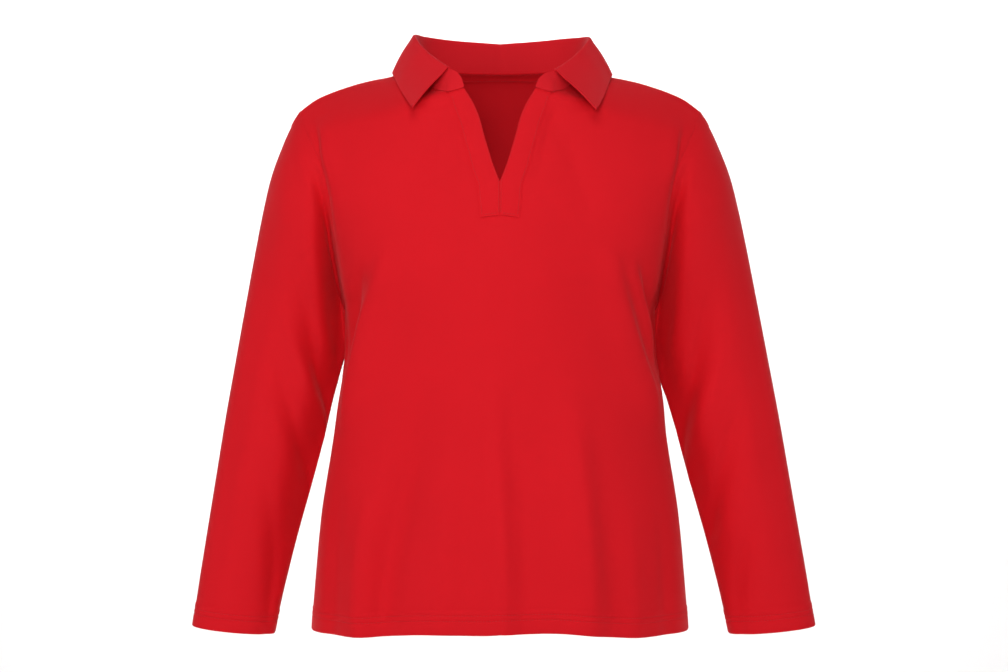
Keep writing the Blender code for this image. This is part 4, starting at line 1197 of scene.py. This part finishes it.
def thread_finish(name, colour):
    """Spun polyester thread: a plain red with a light twist and a little gloss."""
    material, shader, wire = start_material(name)
    twist = wire.noise(1600.0, 2.0)
    wire.dye(shader, twist, tuple(c * 0.75 for c in colour[:3]) + (1.0,), colour)
    (0.65 + twist * 0.2).into(shader, "Roughness")
    wire.emboss(shader, 0.4, 0.0001, twist)
    return material


red_thread = thread_finish("red_thread", (0.62, 0.0055, 0.0120, 1.0))


def sew(name, lines):
    """Make one object of single stitches along lines of points with their facings."""
    points, faces = [], []
    lengths, sizes, lifts = np.array(STITCH_SHAPE).T
    sides = range(STITCH_SIDES)
    for line, facing in lines:
        at = places(line)
        for start in np.arange(STITCH_GAP, at[-1] - STITCH, STITCH + STITCH_GAP):
            spots = start + lengths * STITCH
            spine = np.column_stack([np.interp(spots, at, line[:, k]) for k in range(3)])
            out = np.column_stack([np.interp(spots, at, facing[:, k]) for k in range(3)])
            run = unit(spine[-1] - spine[0])
            first = len(points)
            for k, size in enumerate(sizes):
                wide = np.cross(run, out[k])
                middle = spine[k] + out[k] * THREAD * lifts[k]
                for turn in sides:
                    angle = turn * 2 * math.pi / STITCH_SIDES
                    ring = wide * math.cos(angle) + out[k] * FLATNESS * math.sin(angle)
                    points.append(tuple(middle + ring * THREAD * size))
            last = first + (len(sizes) - 1) * STITCH_SIDES
            for ring_start in range(first, last, STITCH_SIDES):
                for turn in sides:
                    a, b = ring_start + turn, ring_start + (turn + 1) % STITCH_SIDES
                    faces.append((a, a + STITCH_SIDES, b + STITCH_SIDES, b))
            faces.append(tuple(first + turn for turn in sides))
            faces.append(tuple(last + turn for turn in reversed(sides)))
    add_piece(name, points, faces, red_thread)


def across_line(grids, facings, row):
    """A row of a panel from one side edge to the other, with its facings."""
    return [np.vstack([halves[-1][row, :0:-1], halves[1][row]]) for halves in (grids, facings)]


hem_lines = []
for key in NEEDLE_ROWS:
    hem_lines.append(across_line(front_grids, front_facing, FRONT_ROWS.index(key)))
    hem_lines.append(across_line(back_grids, back_facing, BACK_ROWS.index(key)))
sew("hem_stitches", hem_lines)
cuff_lines = []
for side in SIDES:
    for ring in CUFF_NEEDLES:
        at = SLEEVE_RINGS.index(ring)
        cuff_lines.append((sleeve_grids[side][at], sleeve_facing[side][at]))
sew("cuff_stitches", cuff_lines)

# Between which fine columns of a strip its two needle rows lie, and where between them
STRIP_NEEDLES = [(STRIP_EDGE - 1, STRIP_EDGE, 0.35), (1, 0, 0.6)]
placket_lines = []
for side in SIDES:
    strip, facing = strip_lines[side]
    for column, other, share in STRIP_NEEDLES:
        line = blend(strip[:, column], strip[:, other], share)
        placket_lines.append((line[1:-1], facing[1:-1, column]))
    placket_lines.append((strip[1, 1:STRIP_EDGE], facing[1, 1:STRIP_EDGE]))
sew("placket_stitches", placket_lines)

TAPE_NEEDLES = (0.12, 0.88)
neck_lines = []
for line, facing in tape_lines:
    for share in TAPE_NEEDLES:
        neck_lines.append((blend(line[0], line[-1], share), facing[0]))
sew("neck_stitches", neck_lines)


# The studio: a pale floor that curves up behind the shirt and is seen only from its front, wide soft lamps,
# white air, and the camera where the photographer stood, level with the middle of the shirt.

FLOOR = -0.88
FLOOR_REACH = 6.0
WALL_TOP = 3.0
BEND_START = 0.9
BEND_RADIUS = 0.9
BEND_STEPS = 12
pale_floor, floor_shader, floor_wire = start_material("pale_floor")
floor_shader.inputs["Base Color"].default_value = (0.90, 0.90, 0.90, 1.0)
floor_shader.inputs["Roughness"].default_value = 0.9
behind = floor_wire.make("ShaderNodeNewGeometry", {}, {}, "Backfacing")
clear = floor_wire.make("ShaderNodeBsdfTransparent", {}, {})
front_side = Wire(pale_floor.node_tree, floor_shader.outputs[0])
seen = floor_wire.make("ShaderNodeMixShader", {}, {0: behind, 1: front_side, 2: clear})
seen.into(pale_floor.node_tree.nodes["Material Output"], "Surface")
sweep = [(-FLOOR_REACH, FLOOR), (BEND_START, FLOOR)]
for step in range(1, BEND_STEPS + 1):
    turn = math.pi / 2 * step / BEND_STEPS
    bend = (BEND_START + BEND_RADIUS * math.sin(turn), FLOOR + BEND_RADIUS * (1 - math.cos(turn)))
    sweep.append(bend)
sweep.append((BEND_START + BEND_RADIUS, WALL_TOP))
sweep_points = [(x, y, z) for y, z in sweep for x in (-FLOOR_REACH, FLOOR_REACH)]
sweep_faces = [(2 * k, 2 * k + 1, 2 * k + 3, 2 * k + 2) for k in range(len(sweep) - 1)]
studio_floor = add_object("studio_floor", sweep_points, sweep_faces, pale_floor)


def lamp(name, place, aim, size, power):
    """A soft square lamp that points at a place."""
    light = bpy.data.lights.new(name, "AREA")
    light.size = size
    light.energy = power
    fixture = bpy.data.objects.new(name, light)
    fixture.location = place
    away = np.array(place) - np.array(aim)
    length = float(np.linalg.norm(away))
    fixture.rotation_euler = (math.acos(away[2] / length), 0.0, math.atan2(away[1], away[0]) + math.pi / 2)
    fixture.visible_camera = False
    bpy.context.collection.objects.link(fixture)


lamp("front_lamp", (-0.2, -2.5, 0.25), (0.0, 0.0, -0.2), 0.9, 26.0)
lamp("left_lamp", (-2.2, -1.4, 0.3), (0.0, 0.0, -0.3), 1.0, 12.0)
lamp("right_lamp", (2.3, -0.9, 0.3), (0.0, 0.0, -0.3), 1.2, 8.5)
lamp("top_lamp", (-0.1, -1.2, 1.8), (0.0, 0.0, -0.15), 1.3, 15.0)
lamp("back_wall_lamp", (0.0, 0.45, 1.0), (0.0, 1.8, 0.4), 1.4, 36.0)

# How bright the air is for the shirt, and how much brighter the camera sees it
AIR_LIGHT = 0.13
AIR_SEEN = 0.90
world = bpy.data.worlds.new("studio_air")
world.use_nodes = True
air = world.node_tree.nodes["Background"]
air.inputs["Color"].default_value = (1.0, 1.0, 1.0, 1.0)
to_camera = Wire(world.node_tree).make("ShaderNodeLightPath", {}, {}, "Is Camera Ray")
(AIR_LIGHT + to_camera * AIR_SEEN).into(air, "Strength")
bpy.context.scene.world = world
bpy.context.scene.view_settings.view_transform = "Standard"
bpy.context.scene.view_settings.look = "None"

CAMERA_PLACE = (0.0048, -2.5, -0.325)
camera_data = bpy.data.cameras.new("photo_camera")
camera_data.sensor_width = 36.0
camera_data.lens = 74.4
camera_data.clip_end = 50.0
camera = bpy.data.objects.new("photo_camera", camera_data)
camera.location = CAMERA_PLACE
camera.rotation_euler = (math.pi / 2, 0.0, 0.0)
bpy.context.collection.objects.link(camera)
bpy.context.scene.camera = camera
